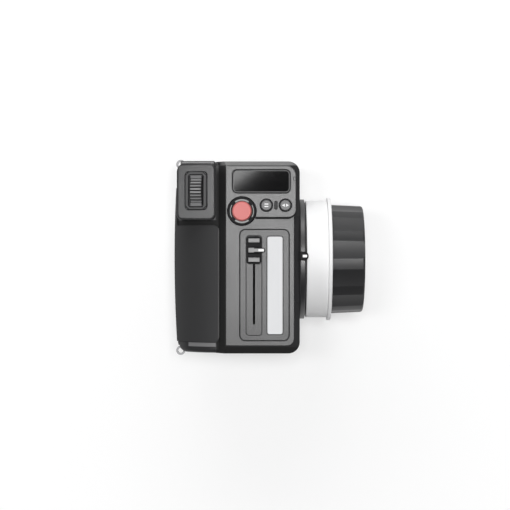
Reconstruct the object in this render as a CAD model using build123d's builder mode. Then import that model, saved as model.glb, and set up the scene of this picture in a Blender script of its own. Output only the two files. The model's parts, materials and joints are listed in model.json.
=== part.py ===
"""A hand-held wireless focus control: a case with a grip, a display, a fader and a focus knob.

Millimetres. +X points at the focus knob, +Y at the display end and +Z out of the control panel.
The unit lies on its battery, and the origin is under its middle.
"""

import os
from math import cos, degrees, radians, sin, sqrt, tan

from build123d import *

os.makedirs("parts", exist_ok=True)

# Fits
running_gap = 0.3
sliding_gap = 0.2
seat_gap = 0.1
shaft_gap = 0.03
press_gap = 0.01

# Case
rear_depth = 7.0
body_wall = 3.0
panel_wall = 3.4
knob_side_corner = 7.3
grip_side_corner = 6.0
grip_corner_cut = 4.0
grip_bulge = 2.0
back_round = 5.0
grip_round = 2.5
seal_width = 1.0
seal_depth = 0.8
screw_radius = 1.25
screw_head_radius = 2.3
screw_head_depth = 2.0
screw_reach = 8.0
screw_boss_radius = 3.6
screw_boss_height = 14.0
screw_boss_overlap = 0.6
screw_head_sink = 1.0
grip_screw_margin = 12.0
driver_radius = 1.1
driver_depth = 1.0

# Control panel and the bevelled bands around it
band_right = 3.7
band_top = 2.4
band_bottom = 5.2
band_drop = 1.6
panel_corner = 4.5
panel_edge_round = 0.8
knob_slot_depth = 11.0
knob_slot_length = 54.0
knob_slot_margin = 0.4

# Grip at the left of the panel
grip_width = 33.7
valley_run = 4.9
valley_drop = 6.1
grip_drop = 26.6
grip_sag = 4.5
pad_thickness = 1.6
pad_gap = 0.2
pad_proud = 0.5
pad_right_margin = 4.3
pad_pod_gap = 3.0
pad_end_margin = 6.7
pad_corner = 3.8
pad_side_end_margin = 16.0
pad_side_rise = 6.0

# Thumb dial on its tilted pod
pod_left_margin = 1.9
pod_width = 24.9
pod_end_margin = 0.9
pod_length = 36.5
pod_corner = 4.0
pod_tilt = 8.0
pod_drop = 3.1
pod_edge_round = 1.4
dial_offset = -0.6
dial_radius = 13.5
dial_width = 7.6
dial_proud = 2.2
dial_edge = 0.6
rib_count = 40
rib_groove_radius = 0.6
dial_window_width = 9.0
dial_window_corner = 1.0
bezel_width = 14.4
bezel_length = 24.6
bezel_chamfer = 2.6
bezel_depth = 1.6
bezel_proud = 0.6
dial_side_gap = 0.5
dial_arm_thickness = 1.6
dial_arm_width = 8.0
dial_arm_end = 3.5
axle_radius = 1.5
axle_grip = 3.0
dial_encoder_width = 4.4
dial_encoder_size = 10.0

# Display plate, display and small buttons
plate_rise = 1.5
plate_sink = 1.0
plate_overhang = 1.4
plate_margin = 0.4
plate_button_margin = 7.8
plate_top_corner = 6.5
plate_bottom_corner = 5.0
plate_edge_round = 0.5
glass_left_margin = 3.9
glass_right_margin = 2.2
glass_top_margin = 2.9
glass_length = 15.15
glass_corner = 3.2
glass_thickness = 1.1
glass_sink = 0.3
glass_gap = 0.35
glass_edge_round = 0.3
display_rim = 1.6
display_corner = 2.4
button_glass_margin = 7.65
record_to_menu = 15.6
menu_to_preset = 12.1
preset_margin = 5.5
small_button_radius = 3.4
small_button_gap = 0.7
small_button_rise = 0.4
status_width = 2.2
status_length = 5.6
status_thickness = 1.2
status_sink = 0.15
press_travel = 0.8
button_flange = 0.9
button_flange_thickness = 1.0
button_stem_radius = 1.5
button_edge = 0.5
switch_size = 6.0
switch_height = 2.2
plunger_radius = 1.6
plunger_height = 1.1
board_drop = 9.5
circuit_thickness = 1.6
control_board_margin = 0.7
control_board_end = 0.6
post_radius = 1.5
small_screw_radius = 0.9
small_screw_head_radius = 1.8
small_screw_head = 1.2
small_screw_reach = 3.2

# Record button, its dished bezel and its light ring
record_margin = 10.1
record_glass_gap = 1.95
record_slider_gap = 2.4
record_radius = 6.1
record_gap = 0.3
record_rise = 2.6
record_edge = 1.0
record_bezel_radius = 9.4
record_bezel_rise = 1.7
record_bezel_sink = 1.5
record_dish_depth = 0.9
record_bezel_edge = 0.6
light_margin = 0.2
light_inner = 6.65
light_outer = 7.65
light_depth = 0.5
light_proud = 0.1
light_wide_angle = 72.0
light_thin_angle = 62.0
light_thin_width = 0.45

# Fader and its marking strip
slider_left_margin = 8.9
slider_right_margin = 3.2
slider_end_margin = 3.2
slider_corner = 3.5
slider_thickness = 1.8
slider_groove = 0.25
track_margin = 8.9
track_top_margin = 3.9
track_bottom_margin = 3.3
track_width = 9.9
track_corner = 2.0
track_depth = 0.8
strip_margin = 8.9
strip_top_margin = 4.4
strip_bottom_margin = 4.0
strip_width = 9.6
strip_corner = 1.3
strip_thickness = 0.7
strip_gap = 0.2
fader_travel = 45.0
fader_lever_width = 1.0
fader_lever_length = 4.0
fader_slot_gap = 0.2
fader_body_width = 8.0
fader_body_depth = 6.5
fader_body_end = 7.5
fader_channel_width = 5.0
fader_channel_depth = 2.6
fader_channel_roof = 1.2
fader_foot_length = 6.0
cap_length = 17.8
cap_base_rise = 1.0
cap_border = 0.9
cap_end_rise = 4.8
cap_dip_rise = 2.7
cap_ridge_rise = 3.9
cap_ridge_half = 1.25
cap_facet_half = 5.2
cap_facet_end = 7.3
cap_ridge_slope = 0.9
cap_saddle_width = 7.0
lever_cover = 0.8
pointer_proud = 0.2
pointer_edge = 0.5
pointer_width = 3.0
pointer_thickness = 1.4
fader_pointer_reach = 7.2

# Focus knob, along X from the case
knob_offset = -1.1
knob_drop = 27.0
base_radius = 39.0
base_thickness = 3.5
base_edge = 0.6
neck_width = 0.8
neck_radius = 36.8
ring_radius = 38.0
ring_wall = 2.0
ring_length = 16.15
ring_edge = 0.4
flange_rise = 1.85
flange_thickness = 2.5
knob_length = 20.95
knob_radius = 35.5
knob_taper = 0.9
knob_wall = 4.5
knob_web = 2.6
knob_lip = 1.5
knob_edge_round = 1.5
flute_count = 12
flute_depth = 0.8
flute_angle = 19.0
flute_turn = 5.0
end_cap_radius = 26.0
end_cap_thickness = 2.4
end_cap_sink = 0.4
index_offset = 2.0
index_width = 5.6
index_tip = 0.9
index_overlap = 0.3
index_seat = 1.2
index_thickness = 2.0

# Knob bearing, turning stop and sensor
spigot_radius = 12.2
spigot_length = 18.9
spigot_margin = 1.4
spigot_shoulder = 4.0
bearing_bore = 5.0
bearing_radius = 9.5
bearing_width = 5.0
bearing_land = 1.2
bearing_sink = 1.2
shaft_collar = 7.0
clip_thickness = 1.0
clip_radius = 7.4
clip_seat = 0.6
clip_opening = 4.0
magnet_radius = 3.0
magnet_thickness = 2.0
sensor_gap = 0.8
sensor_board_size = 24.0
turn_limit = 150.0
stop_radius = 28.0
stop_pin_radius = 1.5
stop_groove_half = 2.2
stop_groove_depth = 4.0
stop_spare = 0.5
stop_pin_reach = 2.6
drag_inner = 11.0
drag_outer = 16.5
drag_thickness = 1.0
drag_proud = 0.1
base_screw_y = 20.0
base_screw_z = 8.0
hub_web = 5.8
hub_boss_radius = 9.0
hub_rim = 3.3
knob_screw_circle = 20.0
knob_screw_count = 3
ring_magnet_count = 6
ring_magnet_radius = 2.5
ring_magnet_depth = 2.0

# Battery on the back
battery_width = 38.4
battery_length = 70.8
battery_depth = 20.6
battery_margin = 27.9
battery_round = 2.5
battery_land = 3.0
battery_groove_depth = 2.2
battery_groove_height = 2.2
mount_thickness = 2.1
plate_screw_x = 14.0
plate_screw_y = 27.0
plate_screw_reach = 2.4
plate_screw_head = 1.2
mount_margin = 3.6
mount_corner = 2.0
mount_end = 3.0
rail_lip = 1.6
contact_radius = 0.9
contact_count = 4
contact_pitch = 5.0
contact_drop = 2.2

# Boards, ports and fastenings of the case
main_board_knob_margin = 23.9
main_board_end_margin = 11.0
main_board_gap = 4.0
main_post_radius = 2.6
main_post_inset = 4.0
radio_width = 24.0
radio_length = 18.0
radio_height = 4.0
radio_margin = 36.0
radio_y = 20.0
usb_margin = 34.0
usb_width = 9.0
usb_height = 3.2
usb_depth = 7.4
usb_sink = 0.4
usb_wall = 0.35
usb_tongue_thickness = 0.7
usb_tongue = 12.0
power_margin = 22.0
power_height = 5.6
power_radius = 3.9
power_switch_depth = 4.0
tripod_hole_radius = 2.55
tripod_outer_radius = 5.0
tripod_length = 9.5
tripod_boss_wall = 2.4
lug_margin = 3.6
lug_reach = 2.5
lug_radius = 3.0
lug_hole_radius = 1.6
lug_thickness = 1.8
lug_tail_width = 3.4
lug_tail_length = 7.5
lug_tail_angle = 45.0
lug_notch_gap = 0.9
lug_notch_height = 11.6

# How large the case comes out, from what it holds
record_from_top = glass_top_margin + glass_length + record_glass_gap + record_bezel_radius
display_zone = record_from_top + record_bezel_radius + record_slider_gap
track_length = fader_travel + cap_length + 2 * running_gap
slider_length = track_top_margin + track_length + track_bottom_margin
body_length = band_top + display_zone + slider_length + slider_end_margin + band_bottom
panel_width = record_margin + record_to_menu + menu_to_preset + preset_margin
body_width = grip_width + panel_width + band_right
front_depth = knob_drop + spigot_radius + spigot_margin

# Where the pieces of the case end
overall_width = pad_proud + body_width + base_thickness + neck_width + ring_length + knob_length
body_left = pad_proud - overall_width / 2
body_right = body_left + body_width
body_half = body_length / 2
back_z = battery_depth + running_gap + mount_thickness
split_z = back_z + rear_depth
panel_z = split_z + front_depth
shoulder_z = panel_z - band_drop
panel_under = panel_z - panel_wall
panel_left = body_left + grip_width
panel_right = body_right - band_right
panel_top = body_half - band_top
panel_bottom = band_bottom - body_half
valley_x = panel_left - valley_run
valley_z = panel_z - valley_drop
slope_left = panel_left - valley_run * band_drop / valley_drop
grip_z = panel_z - grip_drop
knob_z = panel_z - knob_drop

# Where the controls sit on the panel
record_x = panel_left + record_margin
record_y = panel_top - record_from_top
menu_button_x = record_x + record_to_menu
preset_button_x = menu_button_x + menu_to_preset
small_button_y = panel_top - glass_top_margin - glass_length - button_glass_margin
status_x = (menu_button_x + preset_button_x) / 2
plate_bottom = small_button_y - plate_button_margin
glass_width = panel_width - glass_left_margin - glass_right_margin
glass_x = panel_left + glass_left_margin + glass_width / 2
glass_y = panel_top - glass_top_margin - glass_length / 2
slider_left = panel_left + slider_left_margin
slider_right = panel_right - slider_right_margin
slider_top = panel_top - display_zone
slider_bottom = slider_top - slider_length
track_x = slider_left + track_margin
fader_rest_y = slider_top - track_top_margin - running_gap - cap_length / 2
strip_x = slider_right - strip_margin
strip_top = slider_top - strip_top_margin
strip_length = slider_length - strip_top_margin - strip_bottom_margin
control_board_bottom = slider_top + control_board_end

# Where the grip's pieces end, and what the case carries at its ends
pod_bottom = body_half - pod_end_margin - pod_length
pad_top = pod_bottom - pad_pod_gap
pad_bottom = pad_end_margin - body_half
pad_side_top = body_half - pad_side_end_margin
pad_side_bottom_z = split_z + pad_side_rise
main_board_right = body_right - main_board_knob_margin
main_board_half = body_half - main_board_end_margin
grip_screw_x = body_left + grip_screw_margin
radio_x = body_left + radio_margin
usb_x = body_left + usb_margin
power_x = body_left + power_margin
lug_x = body_left + lug_margin
battery_x = body_right - battery_margin
contact_z = battery_depth - contact_drop

# Where the pieces of the focus knob end
base_face = body_right + base_thickness
hub_back = base_face + running_gap
ring_back = base_face + neck_width
ring_front = ring_back + ring_length
knob_front = ring_front + knob_length
flange_radius = ring_radius + flange_rise
plate_screw_places = [
    (battery_x + x * plate_screw_x, y * plate_screw_y) for x in (-1, 1) for y in (-1, 1)
]
knob_axis = Axis((0, knob_offset, knob_z), (1, 0, 0))


def knob_plane(x):
    """A plane across the knob's axis, with its own X along the case and its Y upwards."""
    return Plane(origin=(x, knob_offset, knob_z), x_dir=(0, 1, 0), z_dir=(1, 0, 0))


def knob_half(angle):
    """A plane through the knob's axis, turned by angle from upright. Its Y is the radius."""
    side = radians(angle)
    return Plane(origin=(0, knob_offset, knob_z), x_dir=(1, 0, 0), z_dir=(0, -cos(side), sin(side)))


def body_section(inset):
    """The case seen along its length, below the panel's bands, moved in by inset."""
    chord = Vector(body_left - valley_x, grip_z - valley_z)
    bulge = Vector(chord.Y, -chord.X).normalized() * grip_sag
    middle = Vector((body_left + valley_x) / 2, (grip_z + valley_z) / 2) + bulge
    with BuildSketch(Plane.XZ) as section:
        with BuildLine():
            Polyline(
                (body_left, grip_z),
                (body_left, back_z),
                (body_right, back_z),
                (body_right, shoulder_z),
                (slope_left, shoulder_z),
                (valley_x, valley_z),
            )
            ThreePointArc((valley_x, valley_z), middle, (body_left, grip_z))
        make_face()
        if inset != 0:
            offset(amount=-inset, kind=Kind.INTERSECTION)
    return section.sketch


def body_plan(inset):
    """The case seen from above, moved in by inset."""
    left_end = body_left + grip_bulge
    cut_x = left_end + grip_corner_cut
    cut_y = body_half - grip_corner_cut
    with BuildSketch() as plan:
        with BuildLine():
            Polyline(
                (left_end, -cut_y),
                (cut_x, -body_half),
                (body_right, -body_half),
                (body_right, body_half),
                (cut_x, body_half),
                (left_end, cut_y),
            )
            ThreePointArc((left_end, cut_y), (body_left, 0), (left_end, -cut_y))
        make_face()
        fillet(plan.vertices().group_by(Axis.X)[-1], knob_side_corner)
        cut_corners = plan.vertices().filter_by(lambda v: v.X < cut_x + seat_gap)
        fillet(cut_corners, grip_side_corner)
        if inset != 0:
            offset(amount=-inset, kind=Kind.INTERSECTION)
    return plan.sketch


def panel_outline(left, right, bottom, top, corner):
    """A panel between the given sides, rounded at the knob's side only."""
    with BuildSketch() as outline:
        with Locations(((left + right) / 2, (bottom + top) / 2)):
            Rectangle(right - left, top - bottom)
        fillet(outline.vertices().group_by(Axis.X)[-1], corner)
    return outline.sketch


def rounded_patch(left, right, bottom, top, corner):
    """A rectangle between the given sides with all its corners rounded."""
    with BuildSketch() as patch:
        with Locations(((left + right) / 2, (bottom + top) / 2)):
            RectangleRounded(right - left, top - bottom, corner)
    return patch.sketch


# The whole case as one solid, before it is hollowed and split
shoulder_outline = panel_outline(slope_left, body_right, -body_half, body_half, knob_side_corner)
rim_outline = panel_outline(panel_left, panel_right, panel_bottom, panel_top, panel_corner)
shoulder_face = Plane.XY.offset(shoulder_z) * shoulder_outline.face()
panel_face = Plane.XY.offset(panel_z) * rim_outline.face()
with BuildPart() as body_form:
    extrude(body_section(0), amount=body_half, both=True)
    extrude(body_plan(0), amount=panel_z, mode=Mode.INTERSECT)
    fillet(body_form.faces().sort_by(Axis.Z)[0].edges(), back_round)
    grip_face = body_form.faces().filter_by(GeomType.CYLINDER).sort_by(SortBy.AREA)[-1]
    grip_edges = grip_face.edges().filter_by(lambda e: e.center().X < valley_x - grip_round)
    fillet(grip_edges, grip_round)
    loft([shoulder_face, panel_face], ruled=True)
    rim = body_form.faces().sort_by(Axis.Z)[-1].edges()
    fillet(rim.filter_by(lambda e: e.center().X > panel_left + panel_edge_round), panel_edge_round)

# The room inside the case
inner_left = panel_left + body_wall / 2
inner_right = panel_right - body_wall / 2
inner_top = panel_top - body_wall / 2
inner_bottom = panel_bottom + body_wall / 2
with BuildPart() as cavity:
    extrude(body_section(body_wall), amount=body_half - body_wall, both=True)
    extrude(body_plan(body_wall), amount=panel_z, mode=Mode.INTERSECT)
    with BuildSketch(Plane.XY.offset(shoulder_z - body_wall)):
        with Locations(((inner_left + inner_right) / 2, (inner_top + inner_bottom) / 2)):
            Rectangle(inner_right - inner_left, inner_top - inner_bottom)
    extrude(amount=panel_under - shoulder_z + body_wall)

# The grip's skin: outside it the pad stands proud, and inside it is the pad's bed
with BuildPart() as grip_skin:
    extrude(body_section(-pad_proud), amount=body_half, both=True)
    extrude(body_plan(-pad_proud), amount=panel_z, mode=Mode.INTERSECT)
    extrude(body_section(pad_thickness), amount=body_half, both=True, mode=Mode.SUBTRACT)


def pad_region(inset):
    """What the grip pad covers, seen from above and from the grip's side, moved in by inset."""
    left = body_left - body_wall
    front_right = panel_left - pad_right_margin - inset
    side_right = body_left + pod_left_margin - pad_gap - inset
    low_y = pad_bottom + inset
    with BuildPart() as region:
        with BuildSketch(Plane.XY.offset(grip_z)):
            add(rounded_patch(left, front_right, low_y, pad_top - inset, pad_corner))
        extrude(amount=grip_drop)
        with BuildSketch(Plane.XY.offset(pad_side_bottom_z + inset)):
            add(rounded_patch(left, side_right, low_y, pad_side_top - inset, seat_gap))
        extrude(amount=valley_z - pad_side_bottom_z)
    return region.part


# Places that several pieces share: the tilted dial
tilt = radians(pod_tilt)
pod_left = body_left + pod_left_margin
pod_x = pod_left + pod_width / 2
pod_y = pod_bottom + pod_length / 2
dial_y = pod_y - dial_offset
pod_face_z = panel_z - pod_drop - pod_width / 2 * tan(tilt)
along_axle = Vector(cos(tilt), 0, sin(tilt))
out_of_pod = Vector(-sin(tilt), 0, cos(tilt))
dial_face = Plane(origin=(pod_x, dial_y, pod_face_z), x_dir=along_axle, z_dir=out_of_pod)
dial_depth = dial_radius - dial_proud
window_half = sqrt(dial_radius**2 - (dial_depth - bezel_depth) ** 2) + running_gap
dial_centre = Vector(pod_x, dial_y, pod_face_z) - out_of_pod * dial_depth
arm_inside = dial_width / 2 + dial_side_gap
arm_outside = arm_inside + dial_arm_thickness
encoder_outside = arm_outside + dial_encoder_width


def dial_plane(along):
    """A plane across the dial's axle, at a distance along it from the dial's middle."""
    return Plane(origin=dial_centre + along_axle * along, x_dir=(0, 1, 0), z_dir=along_axle)


# Places that several pieces share: screws, boards and ports
screw_inset = body_wall + screw_boss_radius - screw_boss_overlap
case_screw_places = [
    (x, y * (body_half - screw_inset)) for x in (grip_screw_x, body_right - screw_inset) for y in (-1, 1)
]
board_top = panel_z - board_drop
board_left = inner_left + control_board_margin
board_right = inner_right - control_board_margin
board_far = inner_top - control_board_margin
board_post_places = [
    (x, y)
    for x in (board_left + post_radius, board_right - post_radius)
    for y in (control_board_bottom + post_radius, board_far - post_radius)
]
main_board_z = back_z + body_wall + main_board_gap
main_board_left = body_left + grip_bulge + body_wall + seat_gap
main_post_places = [
    (x, y * (main_board_half - main_post_inset))
    for x in (main_board_left + main_post_inset, main_board_right - main_post_inset)
    for y in (-1, 1)
]
usb_z = main_board_z + circuit_thickness + usb_height / 2
power_z = split_z + power_height
lug_y = body_half + lug_reach - lug_radius
lug_z = knob_z
base_screw_places = [(y, z) for y in (-base_screw_y, base_screw_y) for z in (-base_screw_z, base_screw_z)]
small_button_hole = small_button_radius + small_button_gap
record_hole = record_radius + record_gap
small_flange = small_button_hole + button_flange
record_flange = record_hole + button_flange
small_button_places = [(menu_button_x, small_button_y), (preset_button_x, small_button_y)]
fader_middle_y = fader_rest_y - fader_travel / 2
slot_width = fader_lever_width + 2 * fader_slot_gap
slot_length = fader_travel + fader_lever_length + 2 * running_gap


def plate_shape():
    """The display plate's outline, with its bite around the record button."""
    left = panel_left + plate_margin
    right = panel_right + plate_overhang
    top = panel_top - plate_margin
    with BuildSketch() as shape:
        with Locations(((left + right) / 2, (plate_bottom + top) / 2)):
            Rectangle(right - left, top - plate_bottom)
        knob_side = shape.vertices().group_by(Axis.X)[-1].sort_by(Axis.Y)
        fillet(knob_side[0], plate_bottom_corner)
        fillet(shape.vertices().group_by(Axis.Y)[-1].sort_by(Axis.X)[-1], plate_top_corner)
        with Locations((record_x, record_y)):
            Circle(record_bezel_radius + seat_gap, mode=Mode.SUBTRACT)
            Rectangle(
                record_x - left,
                record_y - plate_bottom,
                align=(Align.MAX, Align.MAX),
                mode=Mode.SUBTRACT,
            )
    return shape.sketch


def lug_shape(side):
    """One strap eye and its tail, seen from above, at the end of the case that side gives."""
    with BuildSketch() as shape:
        with Locations((lug_x, side * lug_y)):
            Circle(lug_radius)
        with Locations(Location((lug_x, side * lug_y), -lug_tail_angle * side)):
            Rectangle(lug_tail_length, lug_tail_width, align=(Align.MIN, Align.CENTER))
        with Locations((lug_x, side * lug_y)):
            Circle(lug_hole_radius, mode=Mode.SUBTRACT)
    return shape.sketch


# Strap eyes at the two corners of the grip
with BuildPart() as strap_lugs:
    for side in (-1, 1):
        with BuildSketch(Plane.XY.offset(lug_z - lug_thickness / 2)):
            add(lug_shape(side))
        extrude(amount=lug_thickness)
strap_lugs.part.label = "strap_lugs"
export_step(strap_lugs.part, "parts/strap_lugs.step")

# Rubber pad on the grip
pad_cover = pad_region(pad_gap)
with BuildPart() as grip_pad:
    add(grip_skin.part)
    add(pad_cover, mode=Mode.INTERSECT)
grip_pad.part.label = "grip_pad"
export_step(grip_pad.part, "parts/grip_pad.step")

# Front half of the case, with the panel and the grip
pad_bed = Part(grip_skin.part.wrapped) & pad_region(0)
with BuildPart() as front_shell:
    add(body_form.part)
    split(bisect_by=Plane.XY.offset(split_z), keep=Keep.TOP)
    add(cavity.part, mode=Mode.SUBTRACT)
    with BuildSketch(Plane.XY.offset(split_z)):
        with Locations(*case_screw_places):
            Circle(screw_boss_radius)
    extrude(amount=screw_boss_height)
    with BuildSketch(Plane.XY.offset(split_z)):
        with Locations(*case_screw_places):
            Circle(screw_radius)
    extrude(amount=screw_reach, mode=Mode.SUBTRACT)
    with BuildSketch(Plane.XY.offset(board_top)):
        with Locations(*board_post_places):
            Circle(post_radius)
    extrude(amount=panel_under - board_top)
    with BuildSketch(Plane.XY.offset(board_top)):
        with Locations(*board_post_places):
            Circle(small_screw_radius)
    extrude(amount=small_screw_reach, mode=Mode.SUBTRACT)
    with BuildSketch(Plane.XZ.offset(body_half)):
        with Locations((battery_x, knob_z)):
            Circle(tripod_outer_radius + tripod_boss_wall)
    extrude(amount=-tripod_length - tripod_boss_wall)
    with BuildSketch(Plane.XZ.offset(body_half)):
        with Locations((battery_x, knob_z)):
            Circle(tripod_outer_radius)
    extrude(amount=-tripod_length, mode=Mode.SUBTRACT)
    with BuildSketch(Plane.XZ.offset(body_half)):
        with Locations((usb_x, usb_z)):
            RectangleRounded(usb_width + 2 * seat_gap, usb_height + 2 * seat_gap, usb_height / 2)
        with Locations((power_x, power_z)):
            Circle(power_radius + sliding_gap)
    extrude(amount=-body_wall, mode=Mode.SUBTRACT)
    with BuildSketch(knob_plane(body_right - body_wall)):
        with Locations(*base_screw_places):
            Circle(screw_boss_radius)
    extrude(amount=-screw_boss_radius)
    with BuildSketch(knob_plane(body_right)):
        with Locations(*base_screw_places):
            Circle(screw_radius)
        Circle(spigot_radius + seat_gap)
    extrude(amount=-body_wall - screw_boss_radius, mode=Mode.SUBTRACT)
    with BuildSketch(Plane.XZ.offset(-knob_offset)):
        with BuildLine():
            Polyline(
                (panel_right + knob_slot_margin, panel_z),
                (body_right, panel_z),
                (body_right, panel_z - knob_slot_depth),
                close=True,
            )
        make_face()
    extrude(amount=knob_slot_length / 2, both=True, mode=Mode.SUBTRACT)
    with BuildSketch(Plane.XY.offset(panel_z - plate_sink)):
        add(plate_shape())
    extrude(amount=plate_sink + plate_rise, mode=Mode.SUBTRACT)
    with BuildSketch(Plane.XY.offset(panel_under)):
        with Locations((glass_x, glass_y)):
            RectangleRounded(
                glass_width - 2 * display_rim, glass_length - 2 * display_rim, display_corner
            )
        with Locations(*small_button_places):
            Circle(small_flange + sliding_gap)
        with Locations((record_x, record_y)):
            Circle(record_flange + sliding_gap)
        with Locations((track_x, fader_middle_y)):
            Rectangle(slot_width, slot_length)
    extrude(amount=panel_wall, mode=Mode.SUBTRACT)
    with BuildSketch(Plane.XY.offset(panel_z - record_bezel_sink)):
        with Locations((record_x, record_y)):
            Circle(record_bezel_radius + seat_gap)
    extrude(amount=record_bezel_sink, mode=Mode.SUBTRACT)
    with BuildSketch(Plane.XY.offset(panel_z - slider_thickness)):
        pocket = rounded_patch(slider_left, slider_right, slider_bottom, slider_top, slider_corner)
        offset(pocket, amount=slider_groove)
    extrude(amount=slider_thickness, mode=Mode.SUBTRACT)
    with BuildSketch(dial_face.offset(-dial_depth - dial_radius)):
        with Locations(((arm_outside - encoder_outside) / 2, 0)):
            Rectangle(
                arm_outside + encoder_outside + 2 * running_gap, 2 * (dial_radius + dial_side_gap)
            )
    extrude(amount=dial_depth + dial_radius, mode=Mode.SUBTRACT)
    with BuildSketch(Plane.XY.offset(lug_z - lug_notch_height / 2)):
        with Locations((lug_x, lug_y), (lug_x, -lug_y)):
            Circle(lug_radius + lug_notch_gap)
    extrude(amount=lug_notch_height, mode=Mode.SUBTRACT)
    add(strap_lugs.part, mode=Mode.SUBTRACT)
    add(pad_bed, mode=Mode.SUBTRACT)
front_shell.part.label = "front_shell"
export_step(front_shell.part, "parts/front_shell.step")


def seal_loop():
    """The seal's groove, seen from above."""
    with BuildSketch() as loop:
        add(body_plan(seal_width))
        add(body_plan(2 * seal_width), mode=Mode.SUBTRACT)
    return loop.sketch


# Rear half of the case
with BuildPart() as rear_cover:
    add(body_form.part)
    split(bisect_by=Plane.XY.offset(split_z), keep=Keep.BOTTOM)
    add(cavity.part, mode=Mode.SUBTRACT)
    with BuildSketch(Plane.XY.offset(back_z + body_wall)):
        with Locations(*case_screw_places):
            Circle(screw_boss_radius)
    extrude(amount=rear_depth - body_wall)
    with BuildSketch(Plane.XY.offset(back_z)):
        with Locations(*case_screw_places):
            Circle(screw_head_radius + seat_gap)
    extrude(amount=screw_head_sink + screw_head_depth, mode=Mode.SUBTRACT)
    with BuildSketch(Plane.XY.offset(back_z)):
        with Locations(*case_screw_places):
            Circle(screw_radius + seat_gap)
    extrude(amount=rear_depth, mode=Mode.SUBTRACT)
    with BuildSketch(Plane.XY.offset(back_z + body_wall)):
        with Locations(*main_post_places):
            Circle(main_post_radius)
    extrude(amount=main_board_gap)
    with BuildSketch(Plane.XY.offset(main_board_z)):
        with Locations(*main_post_places):
            Circle(small_screw_radius)
    extrude(amount=-small_screw_reach, mode=Mode.SUBTRACT)
    with BuildSketch(Plane.XY.offset(back_z)):
        with Locations(*plate_screw_places):
            Circle(screw_radius)
    extrude(amount=plate_screw_reach, mode=Mode.SUBTRACT)
    with BuildSketch(Plane.XY.offset(split_z - seal_depth)):
        add(seal_loop())
    extrude(amount=seal_depth, mode=Mode.SUBTRACT)
rear_cover.part.label = "rear_cover"
export_step(rear_cover.part, "parts/rear_cover.step")

# Seal in the joint between the two halves
with BuildPart() as case_seal:
    with BuildSketch(Plane.XY.offset(split_z - seal_depth)):
        add(seal_loop())
    extrude(amount=seal_depth)
case_seal.part.label = "case_seal"
export_step(case_seal.part, "parts/case_seal.step")

# Screws that hold the two halves together, put in from the back
with BuildPart() as case_screws:
    head_z = back_z + screw_head_sink
    with BuildSketch(Plane.XY.offset(head_z)):
        with Locations(*case_screw_places):
            Circle(screw_head_radius)
    extrude(amount=screw_head_depth)
    with BuildSketch(Plane.XY.offset(head_z)):
        with Locations(*case_screw_places):
            RegularPolygon(driver_radius, 6)
    extrude(amount=driver_depth, mode=Mode.SUBTRACT)
    with BuildSketch(Plane.XY.offset(head_z + screw_head_depth)):
        with Locations(*case_screw_places):
            Circle(screw_radius)
    extrude(amount=split_z + screw_reach - head_z - screw_head_depth)
case_screws.part.label = "case_screws"
export_step(case_screws.part, "parts/case_screws.step")


def bezel_outline(grow):
    """The dial bezel's outline with cut corners, made larger by grow on every side."""
    with BuildSketch() as outline:
        Rectangle(bezel_width + 2 * grow, bezel_length + 2 * grow)
        chamfer(outline.vertices(), bezel_chamfer)
    return outline.sketch


# Raised pod over the top of the grip, with two arms that carry the dial's axle
with BuildPart() as dial_pod:
    with BuildSketch(Plane.XY.offset(grip_z)):
        with Locations((pod_x, pod_y)):
            RectangleRounded(pod_width, pod_length, pod_corner)
    extrude(amount=grip_drop)
    split(bisect_by=dial_face, keep=Keep.BOTTOM)
    fillet(dial_pod.faces().sort_by(Axis.Z)[-1].edges(), pod_edge_round)
    extrude(body_plan(seat_gap), amount=panel_z, mode=Mode.INTERSECT)
    add(body_form.part, mode=Mode.SUBTRACT)
    with BuildSketch(dial_plane(-encoder_outside - running_gap)):
        Rectangle(dial_encoder_size + 2 * running_gap, dial_encoder_size + 2 * running_gap)
    extrude(amount=dial_encoder_width + running_gap, mode=Mode.SUBTRACT)
    with BuildSketch(dial_face.offset(-dial_depth - dial_arm_end)):
        arm_x = (arm_inside + arm_outside) / 2
        with Locations((-arm_x, 0), (arm_x, 0)):
            Rectangle(dial_arm_thickness, dial_arm_width)
    extrude(amount=dial_depth + dial_arm_end - bezel_depth)
    with BuildSketch(dial_plane(-arm_inside)):
        Circle(dial_radius + dial_side_gap)
    extrude(amount=2 * arm_inside, mode=Mode.SUBTRACT)
    with BuildSketch(dial_face.offset(-bezel_depth)):
        add(bezel_outline(seat_gap))
    extrude(amount=bezel_depth, mode=Mode.SUBTRACT)
    with BuildSketch(dial_plane(-arm_outside)):
        Circle(axle_radius + shaft_gap)
    extrude(amount=2 * arm_outside, mode=Mode.SUBTRACT)
dial_pod.part.label = "dial_pod"
export_step(dial_pod.part, "parts/dial_pod.step")

# Frame around the dial
with BuildPart() as dial_bezel:
    with BuildSketch(dial_face.offset(-bezel_depth)):
        add(bezel_outline(0))
    extrude(amount=bezel_depth + bezel_proud)
    chamfer(dial_bezel.faces().sort_by(Axis.Z)[-1].edges(), bezel_proud)
    with BuildSketch(dial_face.offset(-bezel_depth)):
        RectangleRounded(dial_window_width, 2 * window_half, dial_window_corner)
    extrude(amount=bezel_depth + bezel_proud, mode=Mode.SUBTRACT)
dial_bezel.part.label = "dial_bezel"
export_step(dial_bezel.part, "parts/dial_bezel.step")

# Ribbed thumb wheel
with BuildPart() as thumb_dial:
    with BuildSketch(dial_plane(-dial_width / 2)):
        Circle(dial_radius)
    extrude(amount=dial_width)
    chamfer(thumb_dial.edges().filter_by(GeomType.CIRCLE), dial_edge)
    with BuildSketch(dial_plane(-dial_width / 2)):
        with PolarLocations(dial_radius, rib_count):
            Circle(rib_groove_radius)
        Circle(axle_radius)
    extrude(amount=dial_width, mode=Mode.SUBTRACT)
thumb_dial.part.label = "thumb_dial"
export_step(thumb_dial.part, "parts/thumb_dial.step")

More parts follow.
